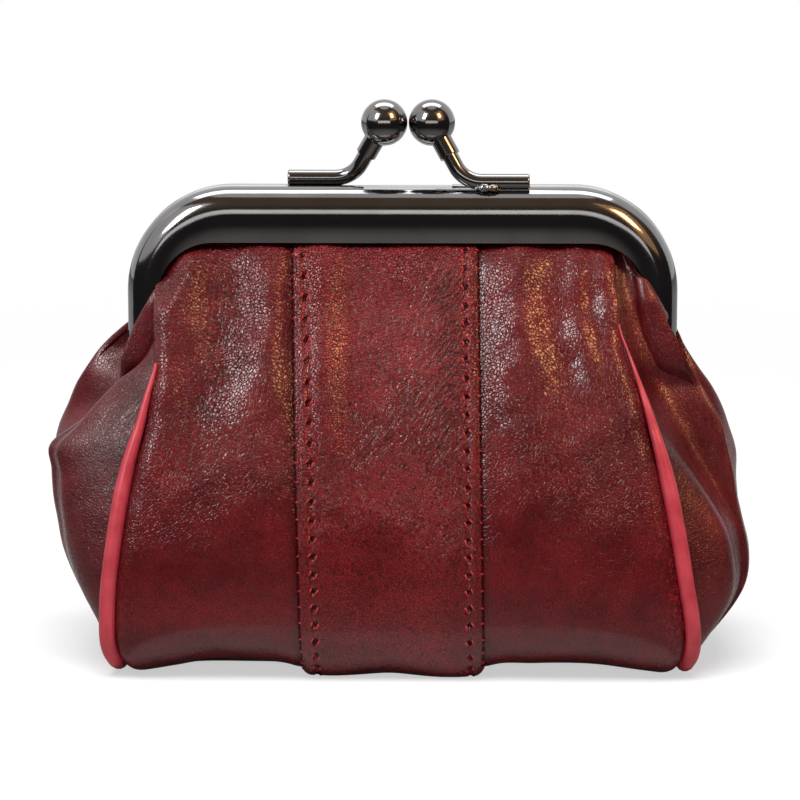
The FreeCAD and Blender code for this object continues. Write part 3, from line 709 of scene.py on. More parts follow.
class PurseColours(bpy.types.PropertyGroup):
    leather_deep: tint("Deep leather", "Leather in its darker patches", (0.086, 0.0028, 0.0046))
    leather_bright: tint("Bright leather", "Leather in its lighter patches", (0.150, 0.0066, 0.0092))
    strip_deep: tint("Deep strip", "Centre strip in its darker patches", (0.128, 0.0034, 0.0052))
    strip_bright: tint("Bright strip", "Centre strip in its lighter patches", (0.225, 0.0080, 0.0104))
    piping_deep: tint("Deep piping", "Piping in its darker patches", (0.42, 0.022, 0.038))
    piping_bright: tint("Bright piping", "Piping in its lighter patches", (0.55, 0.042, 0.062))
    thread: tint("Thread", "Sewing thread", (0.50, 0.012, 0.030))
    gunmetal: tint("Gunmetal", "Frame, posts and balls", (0.24, 0.235, 0.235))
    lining: tint("Lining", "Lining cloth", (0.055, 0.030, 0.028))
    paper: tint("Paper", "Paper cord in the frame", (0.42, 0.30, 0.18))


def sizes():
    return bpy.context.scene.purse_sizes


def colours():
    return bpy.context.scene.purse_colours


def leather_shades():
    return colours().leather_deep, colours().leather_bright


# Pieces

def strip_span(v):
    """The x of the strip's two fold edges."""
    height = np.clip(profile(v)[1] / LIP, 0, 1)
    return [base + (lip - base) * height for base, lip in (STRIP_LEFT, STRIP_RIGHT)]


# The strip's folded edge: how far it stands out by the distance from its fold, the stitches' distance from the fold
# by height, and how deep they pull it in
SEAM_ROLL = ((0, -0.95), (0.12, -0.52), (0.3, -0.20), (0.6, -0.06), (0.95, 0.09), (1.3, 0.19), (1.8, 0.2),
             (2.6, 0.1), (4.0, 0.0), (5.0, 0.0))
STITCH_INSETS = {
    "left": ((0, 2.75), (25, 2.8), (62, 2.4), (80, 1.8)),
    "right": ((0, 2.45), (25, 2.45), (62, 2.45), (80, 2.45)),
}
STITCH_DIP = 0.30
# A stitch's diamond of a hole: its half length and half width, its slant, how steep its rim is and its depth
HOLE_SIZE, HOLE_SLANT, HOLE_RIM, HOLE_DEPTH = (0.72, 0.46), 0.35, 1.6, 0.45
# How much closer together the stitches are on each side
STITCH_TIGHT = {"left": 1.0, "right": 0.86}


def stitch_inset(side, v):
    """How far from the fold the stitches run."""
    return curve(STITCH_INSETS[side], profile(v)[1])


def strip_relief(inset, line):
    """How far the strip's folded edge stands out, by the distance from its fold and that of the stitches."""
    dip = STITCH_DIP * hump(inset, line, 0.5)
    return curve(SEAM_ROLL, np.minimum(inset, SEAM_ROLL[-1][0])) - dip


def stitch_shares(side):
    """Where stitches go through the wall, as shares of its line, closer together towards the base."""
    shares = []
    v = np.linspace(0, 1, 2001)
    z = profile(v)[1]
    at = v[np.argmax((z > 1.0) & (v > 0.1))]
    end = v[np.argmax(z > LIP - 1.5)]
    base, top = sizes().stitch_base, sizes().stitch_top * STITCH_TIGHT[side]
    while at < end:
        shares.append(at)
        pitch = base + (top - base) * ease(float(np.interp(at, v, z)), 8.0, LIP - 12)
        at += float(pitch) / MM / wall_length()
    return shares


class PurseOperator:
    """What every step of the purse shares."""

    bl_options = {"REGISTER", "UNDO"}


# The side panels: how far they go under the strip and dip before it, their outer edge's roll, and their crown
UNDER_STRIP = 1.6
SEAM_DIP, SEAM_DIP_REACH = 1.0, 1.4
ROLL_WIDTH, ROLL_DEPTH = 3.4, 2.6
PANEL_CROWN = 0.7


class PURSE_OT_walls(PurseOperator, bpy.types.Operator):
    """Make the six leather panels of the front and rear walls."""

    bl_idname = "purse.walls"
    bl_label = "Leather walls"

    def execute(self, context):
        panel = leather_finish("panel_leather", leather_shades(), sizes().pebble / MM, 0.15, 1.0, wrinkles=0.6,
                               slant=80)
        shades = (colours().strip_deep, colours().strip_bright)
        strip = leather_finish("strip_leather", shades, sizes().strip_pebble / MM, 0.15, 1.3, wrinkles=2.0,
                               grain_sheen=0.42, crack_dye_and_shade=0.85)
        for face, word in FACES:
            for side in SIGN:
                piece = self.side_panel(f"{word}_{side}_leather", face, side)
                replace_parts(dress(piece, panel), f"{word}_{side}_panel")
                turn_with(piece, WALL_TURNS)
            piece = self.centre_strip(word + "_strip_leather", face)
            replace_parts(dress(piece, strip), f"{word}_center_strip")
            turn_with(piece, WALL_TURNS)
        return {"FINISHED"}

    def side_panel(self, name, face, side):
        """A side panel, from its rolled outer edge to where it goes under the strip."""
        sign = SIGN[side]

        def strip_fold(v):
            return np.abs(strip_span(v)[0 if sign < 0 else 1])

        def place(u, v):
            z = profile(v)[1]
            outer = panel_edge(side, face, z)
            seam = strip_fold(v) - UNDER_STRIP
            share = u if sign * face < 0 else 1 - u
            share = 1 - (1 - share) ** 1.25
            x = sign * (seam + (outer - seam) * share)
            to_edge = outer - np.abs(x)
            to_seam = np.abs(x) - seam
            curl = np.clip(1 - to_edge / ROLL_WIDTH, 0, 1)
            out = -ROLL_DEPTH * (1 - np.sqrt(1 - 0.96 * curl**2)) * (1 - 0.6 * ease(z, 56, 66))
            dip = np.clip(1 - to_seam / (UNDER_STRIP + SEAM_DIP_REACH), 0, 1)
            out = out - SEAM_DIP * dip**1.5
            middle = np.sin(np.clip(to_edge / (outer - seam), 0, 1) * math.pi)
            out = out + PANEL_CROWN * middle * ease(z, 0, 12) * (1 - 0.5 * ease(z, 66, 78))
            return wall_point(x, v, out, face)

        def marks(u, v, points):
            x, z = points[:, 0], points[:, 2]
            to_edge = panel_edge(side, face, z) - np.abs(x)
            low = ease(z, 1, 6) * (1 - ease(z, 24, 44))
            scuff = np.exp(-(to_edge / 1.8)) * low * (1.0 if side == "right" else 0.4)
            # Painted shade: dark where the panel goes under the strip's fold and, low down, in the gap beside the
            # piping
            crease = 0.85 * np.exp(-((np.abs(x) - strip_fold(v)) / 0.5))
            crease += 0.75 * np.exp(-np.maximum(to_edge, 0) / 0.7) * (1 - ease(z, 38, 50))
            valley = at_heights(FOLD_HEIGHTS, FOLD_LINES[2][0], z)
            wrinkle = hump(x, valley, 3.6) * ease(z, 36, 48) * (1 - ease(z, 72, 77))
            return {"scuff": scuff, "crease": np.clip(crease, 0, 1), "slack": 0.18 + 0.82 * ease(z, 17, 44),
                    "wrinkle": wrinkle}

        return leather_sheet(name, PANEL_GRID, place, sizes().leather / MM, marks=marks)

    def centre_strip(self, name, face):
        """The strip that laps over both side panels, with its folded and stitched edges."""

        def across(u, v):
            left, right = strip_span(v)
            share = u if face < 0 else 1 - u
            centred = 2 * share - 1
            share = 0.5 + 0.5 * np.sign(centred) * (1 - (1 - np.abs(centred)) ** 1.9)
            return left + (right - left) * share, left, right

        shares = {side: np.array(stitch_shares(side)) for side in SIGN}

        def seams(u, v):
            """The distance from the nearer fold, the stitches' there, and 1 in a stitch's diamond of a hole."""
            x, left, right = across(u, v)
            inset = np.minimum(x - left, right - x)
            line, hole = np.zeros_like(x), np.zeros_like(x)
            for side, here in (("left", x - left < right - x), ("right", x - left >= right - x)):
                line[here] = stitch_inset(side, v[here])
                along = (v[here][:, None] - shares[side][None, :]) * wall_length()
                along = along[np.arange(len(along)), np.abs(along).argmin(axis=1)]
                aside = (inset[here] - line[here]) - HOLE_SLANT * along * -SIGN[side]
                away = np.abs(along) / HOLE_SIZE[0], np.abs(aside) / HOLE_SIZE[1]
                hole[here] = np.clip(HOLE_RIM - away[0] - away[1], 0, 1)
            return inset, line, hole

        def place(u, v):
            inset, line, hole = seams(u, v)
            out = STRIP_PROUD + strip_relief(inset, line) - HOLE_DEPTH * hole
            return wall_point(across(u, v)[0], v, out, face)

        def marks(u, v, points):
            inset, line, hole = seams(u, v)
            x, z = points[:, 0], points[:, 2]
            # Painted shade in the stitch holes and along the strip's fold edge
            crease = hole + 0.8 * np.exp(-inset / 0.18)
            wrinkle = hump(x, 8.5, 4.5) * ease(z, 36, 48) * (1 - ease(z, 70, 75))
            wrinkle += 0.6 * hump(x + 3, (z - 45) * 0.7, 3.5) * ease(z, 36, 42) * (1 - ease(z, 50, 58))
            return {"scuff": hump(inset, line, 0.7) * 0.45, "crease": np.clip(crease, 0, 1),
                    "slack": 0.2 + 0.8 * ease(z, 16, 45), "wrinkle": wrinkle}

        return leather_sheet(name, STRIP_GRID, place, sizes().leather / MM, rounds=0, marks=marks)


def seam_depth(side, face, height):
    """How far out the wall stands at its side edge, by height."""
    share = np.linspace(0.12, 1, 300)
    edge = panel_edge(side, face, profile(share)[1])
    points = wall_point(edge if side == "right" else -edge, share, 0.0, face)
    return np.interp(height, points[:, 2], np.abs(points[:, 1]))


def gusset_point(side, u, v, inset=0.0):
    """Points of a gusset: u runs from its front seam to its rear one, v from the base up."""
    low, high = GUSSET_HEIGHTS[0], GUSSET_HEIGHTS[-1]
    z = low + (high - low) * v
    net = np.array(GUSSET_NET[side])
    reach = np.stack([at_heights(GUSSET_HEIGHTS, line, z) for line in net.T], axis=1)
    shy = GUSSET_SHY[0] + (GUSSET_SHY[1] - GUSSET_SHY[0]) * ease(z, HINGE - 8, HINGE)
    depths = [np.maximum(seam_depth(side, face, z) - shy, TUCK_DEPTH - 0.6) for face, _ in FACES]
    shares = np.array(GUSSET_SPREAD[side])[None, :]
    spread = shares * np.where(shares < 0, depths[0][:, None], depths[1][:, None])
    hug = spread.copy()
    leg, top, lip = LOBE_AT_LEG
    tucked = ease(z, *LOBE_TUCKS)
    for sign, (edge, near, mid, valley, lobe, inside) in GUSSET_HALVES:
        hug[:, lobe] = sign * (leg + (top - leg) * ease(z, *LOBE_NARROWS) + (lip - top) * tucked)
        hug[:, inside] = sign * (LOBE_INSIDE[0] + (LOBE_INSIDE[1] - LOBE_INSIDE[0]) * tucked)
        hollow = GUSSET_HOLLOW[side] if sign < 0 else 0.0
        hug[:, mid] = (hug[:, lobe] + hug[:, edge]) / 2 - sign * hollow
        hug[:, valley] = (hug[:, lobe] * 2 + hug[:, mid]) / 3 - sign * hollow * 0.3
        hug[:, near] = (hug[:, mid] + hug[:, edge] * 2) / 3 - sign * hollow * 0.2
    beside_leg = ease(z, *LEG_CLEAR[side][:2]) * (1 - ease(z, *LEG_CLEAR[side][2:]))
    spread = spread + (hug - spread) * beside_leg[:, None]
    spread = spread - inset * np.sign(shares) * np.array(GUSSET_TURN_IN)[None, :]
    at = u * (net.shape[1] - 1)
    i = np.clip(at.astype(int), 0, net.shape[1] - 2)
    t = at - i

    def along(lines):
        slopes = np.gradient(lines, axis=1)
        pick = np.arange(len(z))
        a, b, sa, sb = lines[pick, i], lines[pick, i + 1], slopes[pick, i], slopes[pick, i + 1]
        return (1 - t) ** 2 * ((1 + 2 * t) * a + t * sa) + t**2 * ((3 - 2 * t) * b - (1 - t) * sb)

    return np.stack([SIGN[side] * (along(reach) - inset), along(spread), z], axis=-1)


class PURSE_OT_gussets(PurseOperator, bpy.types.Operator):
    """Make the folded leather gussets, each in a front and a rear half that part at the valley fold."""

    bl_idname = "purse.gussets"
    bl_label = "Leather gussets"

    def execute(self, context):
        pebble = sizes().pebble * 0.9 / MM
        finish = leather_finish("gusset_leather", leather_shades(), pebble, 0.23, 0.9, wrinkles=0.8)
        for side in SIGN:
            for _, word in FACES:
                piece = self.half_gusset(f"{side}_{word}_gusset_leather", side, word)
                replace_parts(dress(piece, finish), side + "_gusset")
                turn_with(piece, GUSSET_TURNS)
        return {"FINISHED"}

    def half_gusset(self, name, side, word):
        """A gusset's front or rear half, from its seam to the fold in the middle."""
        first = 0.0 if word == "front" else 0.5

        def girth(u):
            return first + (u if side == "right" else 1 - u) * 0.5

        def place(u, v):
            return gusset_point(side, girth(u), v)

        def marks(u, v, points):
            seam = np.minimum(girth(u), 1 - girth(u))
            z = points[:, 2]
            wrinkle = np.exp(-seam / 0.07) * ease(z, 28, 38) * (1 - ease(z, 48, 56))
            # Painted shade along the seams and in the valley beside the piping
            crease = 0.7 * np.exp(-seam / 0.02) + 0.45 * hump(seam, 0.07, 0.06) * ease(z, 28, 42)
            return {"crease": np.clip(crease, 0, 1), "slack": np.full_like(u, 0.6), "wrinkle": wrinkle}

        return leather_sheet(name, GUSSET_GRID, place, sizes().leather / MM, marks=marks, even=False)


# The piping: the share of its radius left at its tip, the heights between which it thins, how far its tip moves in
# and over what height, and the share of its radius and the distance by which it sits inside the wall's outer face
PIPING_TIP, PIPING_THINS = 0.13, (32.0, HINGE + 8.0)
TIP_SHIFT, TIP_HEIGHT = 0.6, 6
PIPING_SUNK = (0.95, 0.45)


class PURSE_OT_piping(PurseOperator, bpy.types.Operator):
    """Make the piping along the side seams, each in a front and a rear length."""

    bl_idname = "purse.piping"
    bl_label = "Piping"

    def execute(self, context):
        finish = piping_finish("piping_leather", colours().piping_deep, colours().piping_bright)
        for side in SIGN:
            for face, word in FACES:
                piece = self.length_of_piping(f"{side}_{word}_piping_leather", side, face)
                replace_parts(dress(piece, finish), side + "_piping", side + "_piping_core")
                turn_with(piece, WALL_TURNS)
        return {"FINISHED"}

    def length_of_piping(self, name, side, face):
        """A tube on the seam's own line, thin where it slips under the fold at its top."""
        table = side if face < 0 else "rear"
        top = PIPING_TOP[table]
        v = np.linspace(0, 1, 400)
        v = v[(profile(v)[1] < top) | (v < 0.3)][::4]
        z = profile(v)[1]
        x = SIGN[side] * (edge_at(table, z) - TIP_SHIFT * ease(z, top - TIP_HEIGHT, top))
        radius = sizes().piping * (PIPING_TIP + (1 - PIPING_TIP) * (1 - ease(z, *PIPING_THINS)))
        centre = wall_point(x, v, 0.0, face, inset=radius / MM * PIPING_SUNK[0] + PIPING_SUNK[1])
        deselect()
        bpy.ops.curve.primitive_nurbs_path_add()
        path = bpy.context.object
        path.name = path.data.name = name
        path.data.splines.clear()
        spline = path.data.splines.new("NURBS")
        spline.points.add(len(v) - 1)
        for point, place, r in zip(spline.points, centre * MM, radius):
            point.co = (*place, 1.0)
            point.radius = r
        spline.order_u = 3
        spline.use_endpoint_u = True
        path.data.bevel_depth = 1.0
        path.data.bevel_resolution = 5
        path.data.resolution_u = 3
        path.data.use_fill_caps = True
        bpy.ops.object.convert(target="MESH")
        bpy.ops.object.shade_smooth()
        return bpy.context.object


# The bits of thread that show at a stitch: how far in from the hole and up from it, the slant in degrees, the size
STITCH_BITS = ((0.52, -0.25, 24, 0.85), (-0.5, 0.3, 30, 0.7), (-9.0, 0.1, 78, 0.75))
# A bit's length, where it bends, how far its ends drop and the share of its width that they lose
BIT_LENGTH, BIT_BEND, BIT_DROP, BIT_TAPER = 1.5, 0.35, 0.45, 0.25


class PURSE_OT_stitches(PurseOperator, bpy.types.Operator):
    """Sew the strip's folded edges down with slanted stitches."""

    bl_idname = "purse.stitches"
    bl_label = "Stitches"

    def execute(self, context):
        finish = thread_finish("sewing_thread", colours().thread)
        stitch = self.one_stitch()
        for face, word in FACES:
            for side in SIGN:
                piece = self.seam(f"{word}_{side}_stitches", stitch, face, side)
                dress(piece, finish)
                turn_with(piece, WALL_TURNS)
        bpy.data.objects.remove(stitch)
        return {"FINISHED"}

    def one_stitch(self):
        """A short bowed bit of thread along its own x, tapered where it goes into the leather."""
        deselect()
        bpy.ops.mesh.primitive_cylinder_add(
            vertices=8, radius=sizes().thread, depth=BIT_LENGTH * MM, rotation=(0, math.pi / 2, 0))
        stitch = bpy.context.object
        bpy.ops.object.transform_apply(location=True, rotation=True, scale=True)
        bpy.ops.object.mode_set(mode="EDIT")
        for cut in (BIT_BEND, -BIT_BEND):
            bpy.ops.mesh.select_all(action="SELECT")
            bpy.ops.mesh.bisect(plane_co=(cut * MM, 0, 0), plane_no=(1, 0, 0))
        bpy.ops.object.mode_set(mode="OBJECT")
        for vertex in stitch.data.vertices:
            share = abs(vertex.co.x) / (BIT_LENGTH / 2 * MM)
            vertex.co.z -= BIT_DROP * MM * share**2
            vertex.co.y *= 1 - BIT_TAPER * share
        bpy.ops.object.shade_smooth()
        return stitch

    def seam(self, name, stitch, face, side):
        """One row of stitches, their bits laid on the strip and joined."""
        copies = []
        for n, share in enumerate(stitch_shares(side)):
            for k, (aside, along, slant, size) in enumerate(STITCH_BITS):
                wander = math.sin(n * 2.4 + k * 1.7 + (0 if side == "left" else 1.3))
                line = float(stitch_inset(side, np.array([share]))[0])
                inset = max(line + aside, 0.12)
                at = share + (along + 0.12 * wander) / wall_length()
                here = self.on_strip(at, inset, face, side)
                up = (self.on_strip(at + 0.004, inset, face, side) - here).normalized()
                across = (self.on_strip(at, inset + 0.2, face, side) - here).normalized()
                out = across.cross(up).normalized()
                if out.y * face < 0:
                    out = -out
                lean = math.radians(slant + 10 * wander)
                way = (up * math.cos(lean) + across * math.sin(lean)).normalized()
                turn = Matrix((way, out.cross(way), out)).transposed().to_4x4()
                data = stitch.data.copy()
                data.transform(Matrix.Translation((here + out * 0.05) * MM) @ turn @ Matrix.Scale(size, 4))
                copy = bpy.data.objects.new(name, data)
                bpy.context.collection.objects.link(copy)
                copies.append(copy)
                for vertex in data.vertices:
                    vertex.co.z = max(vertex.co.z, TABLE_CLEAR * MM)
        deselect()
        for copy in copies:
            copy.select_set(True)
        bpy.context.view_layer.objects.active = copies[0]
        bpy.ops.object.join()
        piece = bpy.context.object
        piece.name = piece.data.name = name
        return piece

    def on_strip(self, share, inset, face, side):
        """The strip's outer face at that share of its line and that far from its fold."""
        v = np.array([share])
        left, right = strip_span(v)
        x = left + inset if side == "left" else right - inset
        out = STRIP_PROUD + strip_relief(np.array([inset]), stitch_inset(side, v))
        return Vector(wall_point(x, v, out, face)[0])


class PURSE_OT_lining(PurseOperator, bpy.types.Operator):
    """Line the walls and gussets with woven cloth."""

    bl_idname = "purse.lining"
    bl_label = "Lining"

    def execute(self, context):
        finish = woven_finish("lining_cloth", colours().lining, 0.45)
        for face, word in FACES:
            piece = self.wall(word + "_lining_cloth", face)
            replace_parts(dress(piece, finish), word + "_lining")
            turn_with(piece, WALL_TURNS)
            for side in SIGN:
                piece = self.half_gusset(f"{side}_{word}_gusset_lining_cloth", side, word)
                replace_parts(dress(piece, finish), side + "_gusset_lining")
                turn_with(piece, GUSSET_TURNS)
        return {"FINISHED"}

    def wall(self, name, face):
        """A wall's lining, from near the base's middle to behind the lip."""
        edges = ("left", "right") if face < 0 else ("rear", "rear")
        start, part = LINED_WALL

        def place(u, v):
            share = start + part * v
            z = profile(share)[1]
            left = -edge_at(edges[0], z) + LINING_SHY
            right = edge_at(edges[1], z) - LINING_SHY
            across = u if face < 0 else 1 - u
            return wall_point(left + (right - left) * across, share, 0.0, face, inset=LINING_INSET["wall"])

        return leather_sheet(name, LINING_GRID["wall"], place, sizes().lining / MM, rounds=0)

    def half_gusset(self, name, side, word):
        """The lining of a gusset's front or rear half, below the gathers."""
        start, girth = LINED_GIRTH
        first = start if word == "front" else 0.5
        foot, height = LINED_HEIGHT

        def place(u, v):
            share = u if side == "right" else 1 - u
            return gusset_point(side, first + share * girth, foot + v * height, inset=LINING_INSET["gusset"])

        return leather_sheet(name, LINING_GRID["gusset"], place, sizes().lining / MM, rounds=0, even=False)


# The hem: how far it reaches past the lip either way, its distance from the parting plane, its ripple's height and
# radians per millimetre, and its thickness
HEM_REACH, HEM_DEPTH, HEM_RIPPLE, HEM_THICKNESS = (-0.15, 3.0), 4.75, (0.12, 1.9), 0.9


class PURSE_OT_hems(PurseOperator, bpy.types.Operator):
    """Turn the leather's edges into the frame's channels."""

    bl_idname = "purse.hems"
    bl_label = "Hems in the frame"

    def execute(self, context):
        finish = leather_finish("hem_leather", leather_shades(), sizes().strip_pebble / MM, 0.4, 0.4)
        for face, word in FACES:
            piece = self.hem(word + "_hem_leather", face)
            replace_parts(dress(piece, finish), word + "_leather_hem")
            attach(piece, word + "_half")
        return {"FINISHED"}

    def hem(self, name, face):
        """A ribbon round the inside of the channel's face, from just past the lip."""
        low = box_mm("front_leather_hem")[0].z
        straight = LIP - WINDOW_CORNER - low
        quarter = WINDOW_CORNER * math.pi / 2
        bar = 2 * (WINDOW_HALF - WINDOW_CORNER)
        total = 2 * straight + 2 * quarter + bar
        near, far = HEM_REACH

        def place(u, v):
            share = u if face < 0 else 1 - u
            run = share * total - total / 2
            sign = np.sign(run)
            run = np.abs(run)
            turn = np.clip((run - bar / 2) / WINDOW_CORNER, 0, math.pi / 2)
            drop = np.maximum(run - bar / 2 - quarter, 0)
            reach = WINDOW_CORNER + near + (far - near) * v
            x = np.minimum(run, bar / 2) + reach * np.sin(turn)
            z = LIP - WINDOW_CORNER + reach * np.cos(turn) - drop
            depth = HEM_DEPTH - HEM_RIPPLE[0] * np.sin(run * HEM_RIPPLE[1]) * (1 - v)
            return np.stack([sign * x, face * depth, z], axis=-1)

        def marks(u, v, points):
            # Painted shade over the whole hem, where it goes into the frame's channel under the lip
            return {"crease": np.full_like(u, 0.7)}

        return leather_sheet(name, HEM_GRID, place, HEM_THICKNESS, rounds=0, marks=marks)


class PURSE_OT_metal(PurseOperator, bpy.types.Operator):
    """Plate the frame, hinge and kiss lock, and finish the cords that hide in the seams."""

    bl_idname = "purse.metal"
    bl_label = "Dark metal"

    def execute(self, context):
        plated = gunmetal_finish("gunmetal", colours().gunmetal, 0.09)
        channel = gunmetal_finish("channel_metal", colours().gunmetal, 0.09, rolled=(4.2, 0.13))
        paper = paper_finish("paper_cord", colours().paper)
        core = woven_finish("core_cord", (0.6, 0.55, 0.48), 0.6)
        for name, node in frame["nodes"].items():
            if name in ("front_frame", "rear_frame"):
                dress(node, channel)
            elif "lock" in name or "rivet" in name:
                dress(node, plated)
            elif "paper_cord" in name:
                dress(node, paper)
            elif "core" in name:
                dress(node, core)
        return {"FINISHED"}


# A blob of braze: its half sizes, its distance from the end of the post's foot, from the parting plane and above the
# frame, and the height of its lumps
BRAZE_SIZE, BRAZE_SETBACK, BRAZE_DEPTH, BRAZE_RISE, BRAZE_LUMPS = (2.3, 0.9, 0.75), 7.6, 4.6, 0.05, 0.13


class PURSE_OT_braze(PurseOperator, bpy.types.Operator):
    """Leave the rough braze that holds the posts on the frame."""

    bl_idname = "purse.braze"
    bl_label = "Braze"

    def execute(self, context):
        finish = gunmetal_finish("braze_metal", [c * 1.1 for c in colours().gunmetal], 0.2)
        for face, word in FACES:
            low, high = box_mm(word + "_lock_post")
            x = high.x - BRAZE_SETBACK if face < 0 else low.x + BRAZE_SETBACK
            place = (x, face * BRAZE_DEPTH, FRAME_TOP + BRAZE_RISE)
            deselect()
            bpy.ops.mesh.primitive_ico_sphere_add(subdivisions=4, radius=1.0, location=[c * MM for c in place])
            blob = bpy.context.object
            blob.name = blob.data.name = word + "_braze"
            blob.scale = [size * MM for size in BRAZE_SIZE]
            bpy.ops.object.transform_apply(location=True, rotation=True, scale=True)
            for vertex in blob.data.vertices:
                p = vertex.co / MM
                lump = math.sin(p.x * 3.1) * math.cos(p.y * 4.0 + 1.0) + 0.6 * math.sin(p.x * 7.3 + p.z * 5.0)
                vertex.co += vertex.normal * (BRAZE_LUMPS * lump * MM)
            bpy.ops.object.shade_smooth()
            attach(dress(blob, finish), word + "_half")
        return {"FINISHED"}


# Stage

CAMERA_AIM = (-0.00046, 0.0, 0.0471)
CAMERA_AZIMUTH = 1.0
CAMERA_ELEVATION = 10.0
CAMERA_DISTANCE = 0.6
CAMERA_LENS = 147.0


def compass(azimuth, elevation, distance):
    """A point that far from the aim, azimuth 0 in front and 90 to the right."""
    a, e = math.radians(azimuth), math.radians(elevation)
    way = Vector((math.sin(a) * math.cos(e), -math.cos(a) * math.cos(e), math.sin(e)))
    return Vector(CAMERA_AIM) + way * distance, way


WHITE = (1.0, 1.0, 1.0)

# Each lamp's azimuth and elevation in degrees, its distance and size in metres, its power and tone, the kind of light
# it doesn't give, and the only kind of piece it lights
LAMPS = {
    "soft_top": (-8, 68, 1.0, (0.8, 0.6), 14.5, WHITE, "glossy", None),
    "white_side": (-42, 36, 1.1, (0.24, 0.48), 6.5, WHITE, "diffuse", None),
    "warm_side": (46, 38, 1.1, (0.22, 0.36), 5.5, (1.0, 0.48, 0.20), "diffuse", None),
    "white_fill": (-64, 34, 1.2, (1.3, 1.0), 3.6, (0.95, 0.95, 1.0), "diffuse", None),
    "warm_fill": (50, 36, 1.2, (0.7, 0.9), 1.6, (1.0, 0.55, 0.28), "diffuse", None),
    "rear_soft": (166, 42, 1.1, (0.6, 0.5), 9.0, (1.0, 0.97, 0.93), None, "leather"),
    "overhead": (180, 72, 0.9, (0.9, 0.34), 5.0, WHITE, None, "metal"),
    "front_strip": (0, 10, 1.3, (1.5, 0.26), 2.2, (1.0, 0.98, 0.95), None, "metal"),
}

# The world's strength for diffuse light and what it adds where it is seen; the floor's own glow and what it adds
# between these distances
WORLD_LIGHT, WORLD_SEEN = 0.30, 0.70
FLOOR_GLOW, FLOOR_FADES, FLOOR_FAR_GLOW = 0.55, (0.12, 0.5), 0.45

# The dark flag's reach to either side in degrees, its distance and height along its line, and its glow near the
# purse, away from it and high up
FLAG_REACH = 100.0
FLAG_LINE = ((0.055, 0.002), (1.9, 0.002), (1.9, 1.6), (0.6, 2.1))
FLAG_NEAR = (0.34, 0.32, 0.30, 1.0)
FLAG_DARK = (0.034, 0.031, 0.031, 1.0)
FLAG_WARMTH = (0.19, 0.13, 0.09, 1.0)


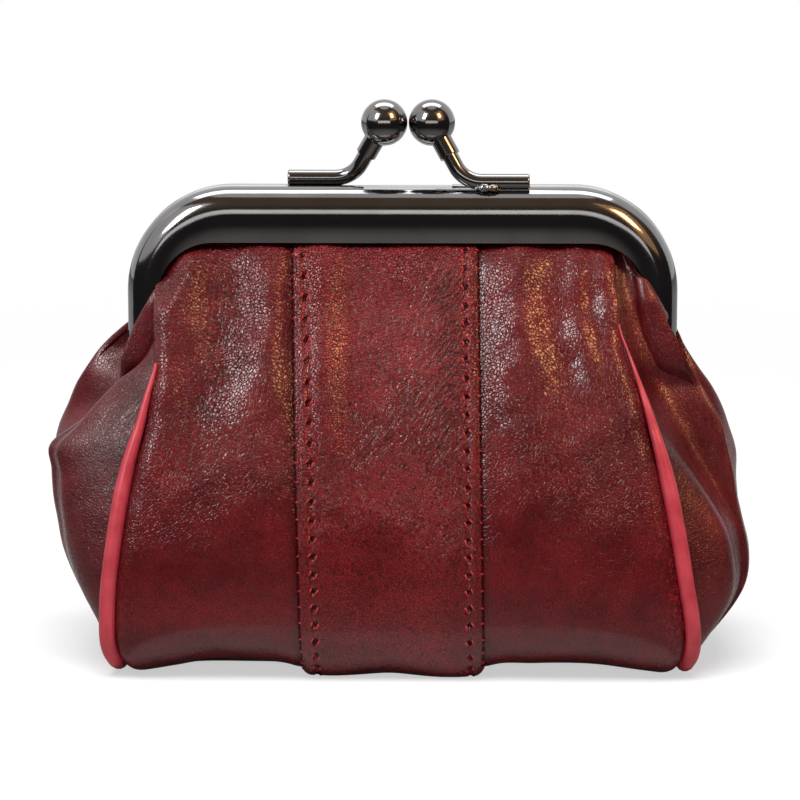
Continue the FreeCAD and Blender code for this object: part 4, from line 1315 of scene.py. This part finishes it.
class PURSE_OT_stage(PurseOperator, bpy.types.Operator):
    """Set up the white floor, the lamps and the camera."""

    bl_idname = "purse.stage"
    bl_label = "Stage"

    def execute(self, context):
        self.world()
        self.floor()
        self.flag()
        groups = {kind: self.pieces_of(kind) for kind in ("metal", "leather")}
        for name, (*place, size, power, tone, without, only) in LAMPS.items():
            lamp = self.lamp(name, place, size, power, tone)
            lamp.visible_glossy = without != "glossy"
            lamp.visible_diffuse = without != "diffuse"
            if only:
                lamp.light_linking.receiver_collection = groups[only]
        self.camera()
        context.scene.view_settings.view_transform = "Standard"
        return {"FINISHED"}

    def world(self):
        """White wherever it is seen, and a weaker fill for everything else."""
        world = bpy.data.worlds.new("studio")
        bpy.context.scene.world = world
        sky = Shading(world)
        path = sky.node("LightPath")
        shown = sky.value(path, "Is Camera Ray").over(sky.value(path, "Is Glossy Ray")).over(
            sky.value(path, "Is Transmission Ray"))
        world.cycles.sampling_method = "NONE"
        background = sky.tree.nodes["Background"]
        background.inputs["Color"].default_value = rgb(WHITE)
        sky.feed(background, "Strength", WORLD_LIGHT + shown * WORLD_SEEN)

    def floor(self):
        """A white table that glows for the camera, most of all away from the purse, and is plain for the rest."""
        deselect()
        bpy.ops.mesh.primitive_plane_add(size=8.0)
        floor = bpy.context.object
        floor.name = "floor"
        finish = Finish("floor_white")
        shown = finish.value(finish.node("LightPath"), "Is Camera Ray")
        away = finish.far(finish.node("TexCoord").outputs["Object"])
        plain, lit = (
            finish.node("BsdfDiffuse", None, {"Color": rgb((grey,) * 3)}).outputs[0] for grey in (0.55, 0.95))
        glow = finish.node("Emission", None, {"Color": rgb(WHITE), "Strength": 1.0}).outputs[0]
        bright = FLOOR_GLOW + away.between(*FLOOR_FADES) * FLOOR_FAR_GLOW
        near = finish.node("MixShader", None, {0: bright, 1: lit, 2: glow}).outputs[0]
        final = finish.node("MixShader", None, {0: shown, 1: plain, 2: near}).outputs[0]
        finish.tree.links.new(final, finish.tree.nodes["Material Output"].inputs["Surface"])
        dress(floor, finish.material)

    def flag(self):
        """A dark studio flag behind the camera and over the table's far front, for the metal to show. Only
        reflections see it. Its glow is painted light: grey near the purse, dark further off and warm high up."""
        deselect()
        bpy.ops.mesh.primitive_grid_add(x_subdivisions=48, y_subdivisions=3, size=2.0)
        flag = bpy.context.object
        flag.name = "dark_flag"
        for vertex in flag.data.vertices:
            azimuth = math.radians(FLAG_REACH * vertex.co.x)
            away, height = FLAG_LINE[round((vertex.co.y + 1) * 1.5)]
            vertex.co = (away * math.sin(azimuth), -away * math.cos(azimuth), height)
        flag.visible_camera = flag.visible_diffuse = flag.visible_shadow = flag.visible_transmission = False
        finish = Finish("flag_cloth")
        where = finish.places()
        height = finish.value(finish.node("SeparateXYZ", None, {0: where}), "Z")
        # Painted light: the flag glows grey near the purse, dark away from it and warm high up, and only reflections
        # show it
        low = finish.mix(finish.far(where).between(0.06, 0.25), FLAG_NEAR, FLAG_DARK)
        warm = finish.mix(height.between(0.25, 1.8), low, FLAG_WARMTH)
        finish.set(base_color=(0.0, 0.0, 0.0, 1.0), specular_ior_level=0.0, emission_color=warm,
                   emission_strength=1.0)
        dress(flag, finish.material)

    def pieces_of(self, kind):
        """The pieces with a material of that kind, for a lamp that lights nothing else."""
        group = bpy.data.collections.new(kind + "_pieces")
        for piece in bpy.data.objects:
            if piece.type == "MESH" and any(m and kind in m.name for m in piece.data.materials):
                group.objects.link(piece)
        return group

    def lamp(self, name, place, size, power, tone):
        """A softbox that points at the aim and that the camera doesn't see."""
        light = bpy.data.lights.new(name, "AREA")
        light.shape = "RECTANGLE"
        light.size, light.size_y = size
        light.energy = power
        light.color = tone
        lamp = self.aimed(name, light, place)
        lamp.visible_camera = False
        return lamp

    def camera(self):
        data = bpy.data.cameras.new("camera")
        data.sensor_width = 36.0
        data.lens = CAMERA_LENS
        data.clip_start, data.clip_end = 0.02, 50.0
        place = (CAMERA_AZIMUTH, CAMERA_ELEVATION, CAMERA_DISTANCE)
        bpy.context.scene.camera = self.aimed("camera", data, place)

    def aimed(self, name, data, place):
        """A lamp or camera at that azimuth, elevation and distance, turned to the aim."""
        made = bpy.data.objects.new(name, data)
        bpy.context.scene.collection.objects.link(made)
        made.location, way = compass(*place)
        made.rotation_mode = "QUATERNION"
        made.rotation_quaternion = (-way).to_track_quat("-Z", "Y")
        return made


STEPS = (
    PURSE_OT_walls,
    PURSE_OT_gussets,
    PURSE_OT_piping,
    PURSE_OT_stitches,
    PURSE_OT_lining,
    PURSE_OT_hems,
    PURSE_OT_metal,
    PURSE_OT_braze,
    PURSE_OT_stage,
)


class PURSE_PT_panel(bpy.types.Panel):
    """The purse's settings and steps."""

    bl_label = "Purse"
    bl_idname = "PURSE_PT_panel"
    bl_space_type = "VIEW_3D"
    bl_region_type = "UI"
    bl_category = "Purse"

    def draw(self, context):
        layout = self.layout
        for group in (context.scene.purse_sizes, context.scene.purse_colours):
            for name in group.__annotations__:
                layout.prop(group, name)
        for step in STEPS:
            layout.operator(step.bl_idname)


CLASSES = (PurseSizes, PurseColours, *STEPS, PURSE_PT_panel)


def register():
    for made in CLASSES:
        bpy.utils.register_class(made)
    bpy.types.Scene.purse_sizes = bpy.props.PointerProperty(type=PurseSizes)
    bpy.types.Scene.purse_colours = bpy.props.PointerProperty(type=PurseColours)


def unregister():
    del bpy.types.Scene.purse_colours
    del bpy.types.Scene.purse_sizes
    for made in reversed(CLASSES):
        bpy.utils.unregister_class(made)


def main():
    register()
    for step in STEPS:
        group, name = step.bl_idname.split(".")
        getattr(getattr(bpy.ops, group), name)()


if __name__ == "__main__":
    main()
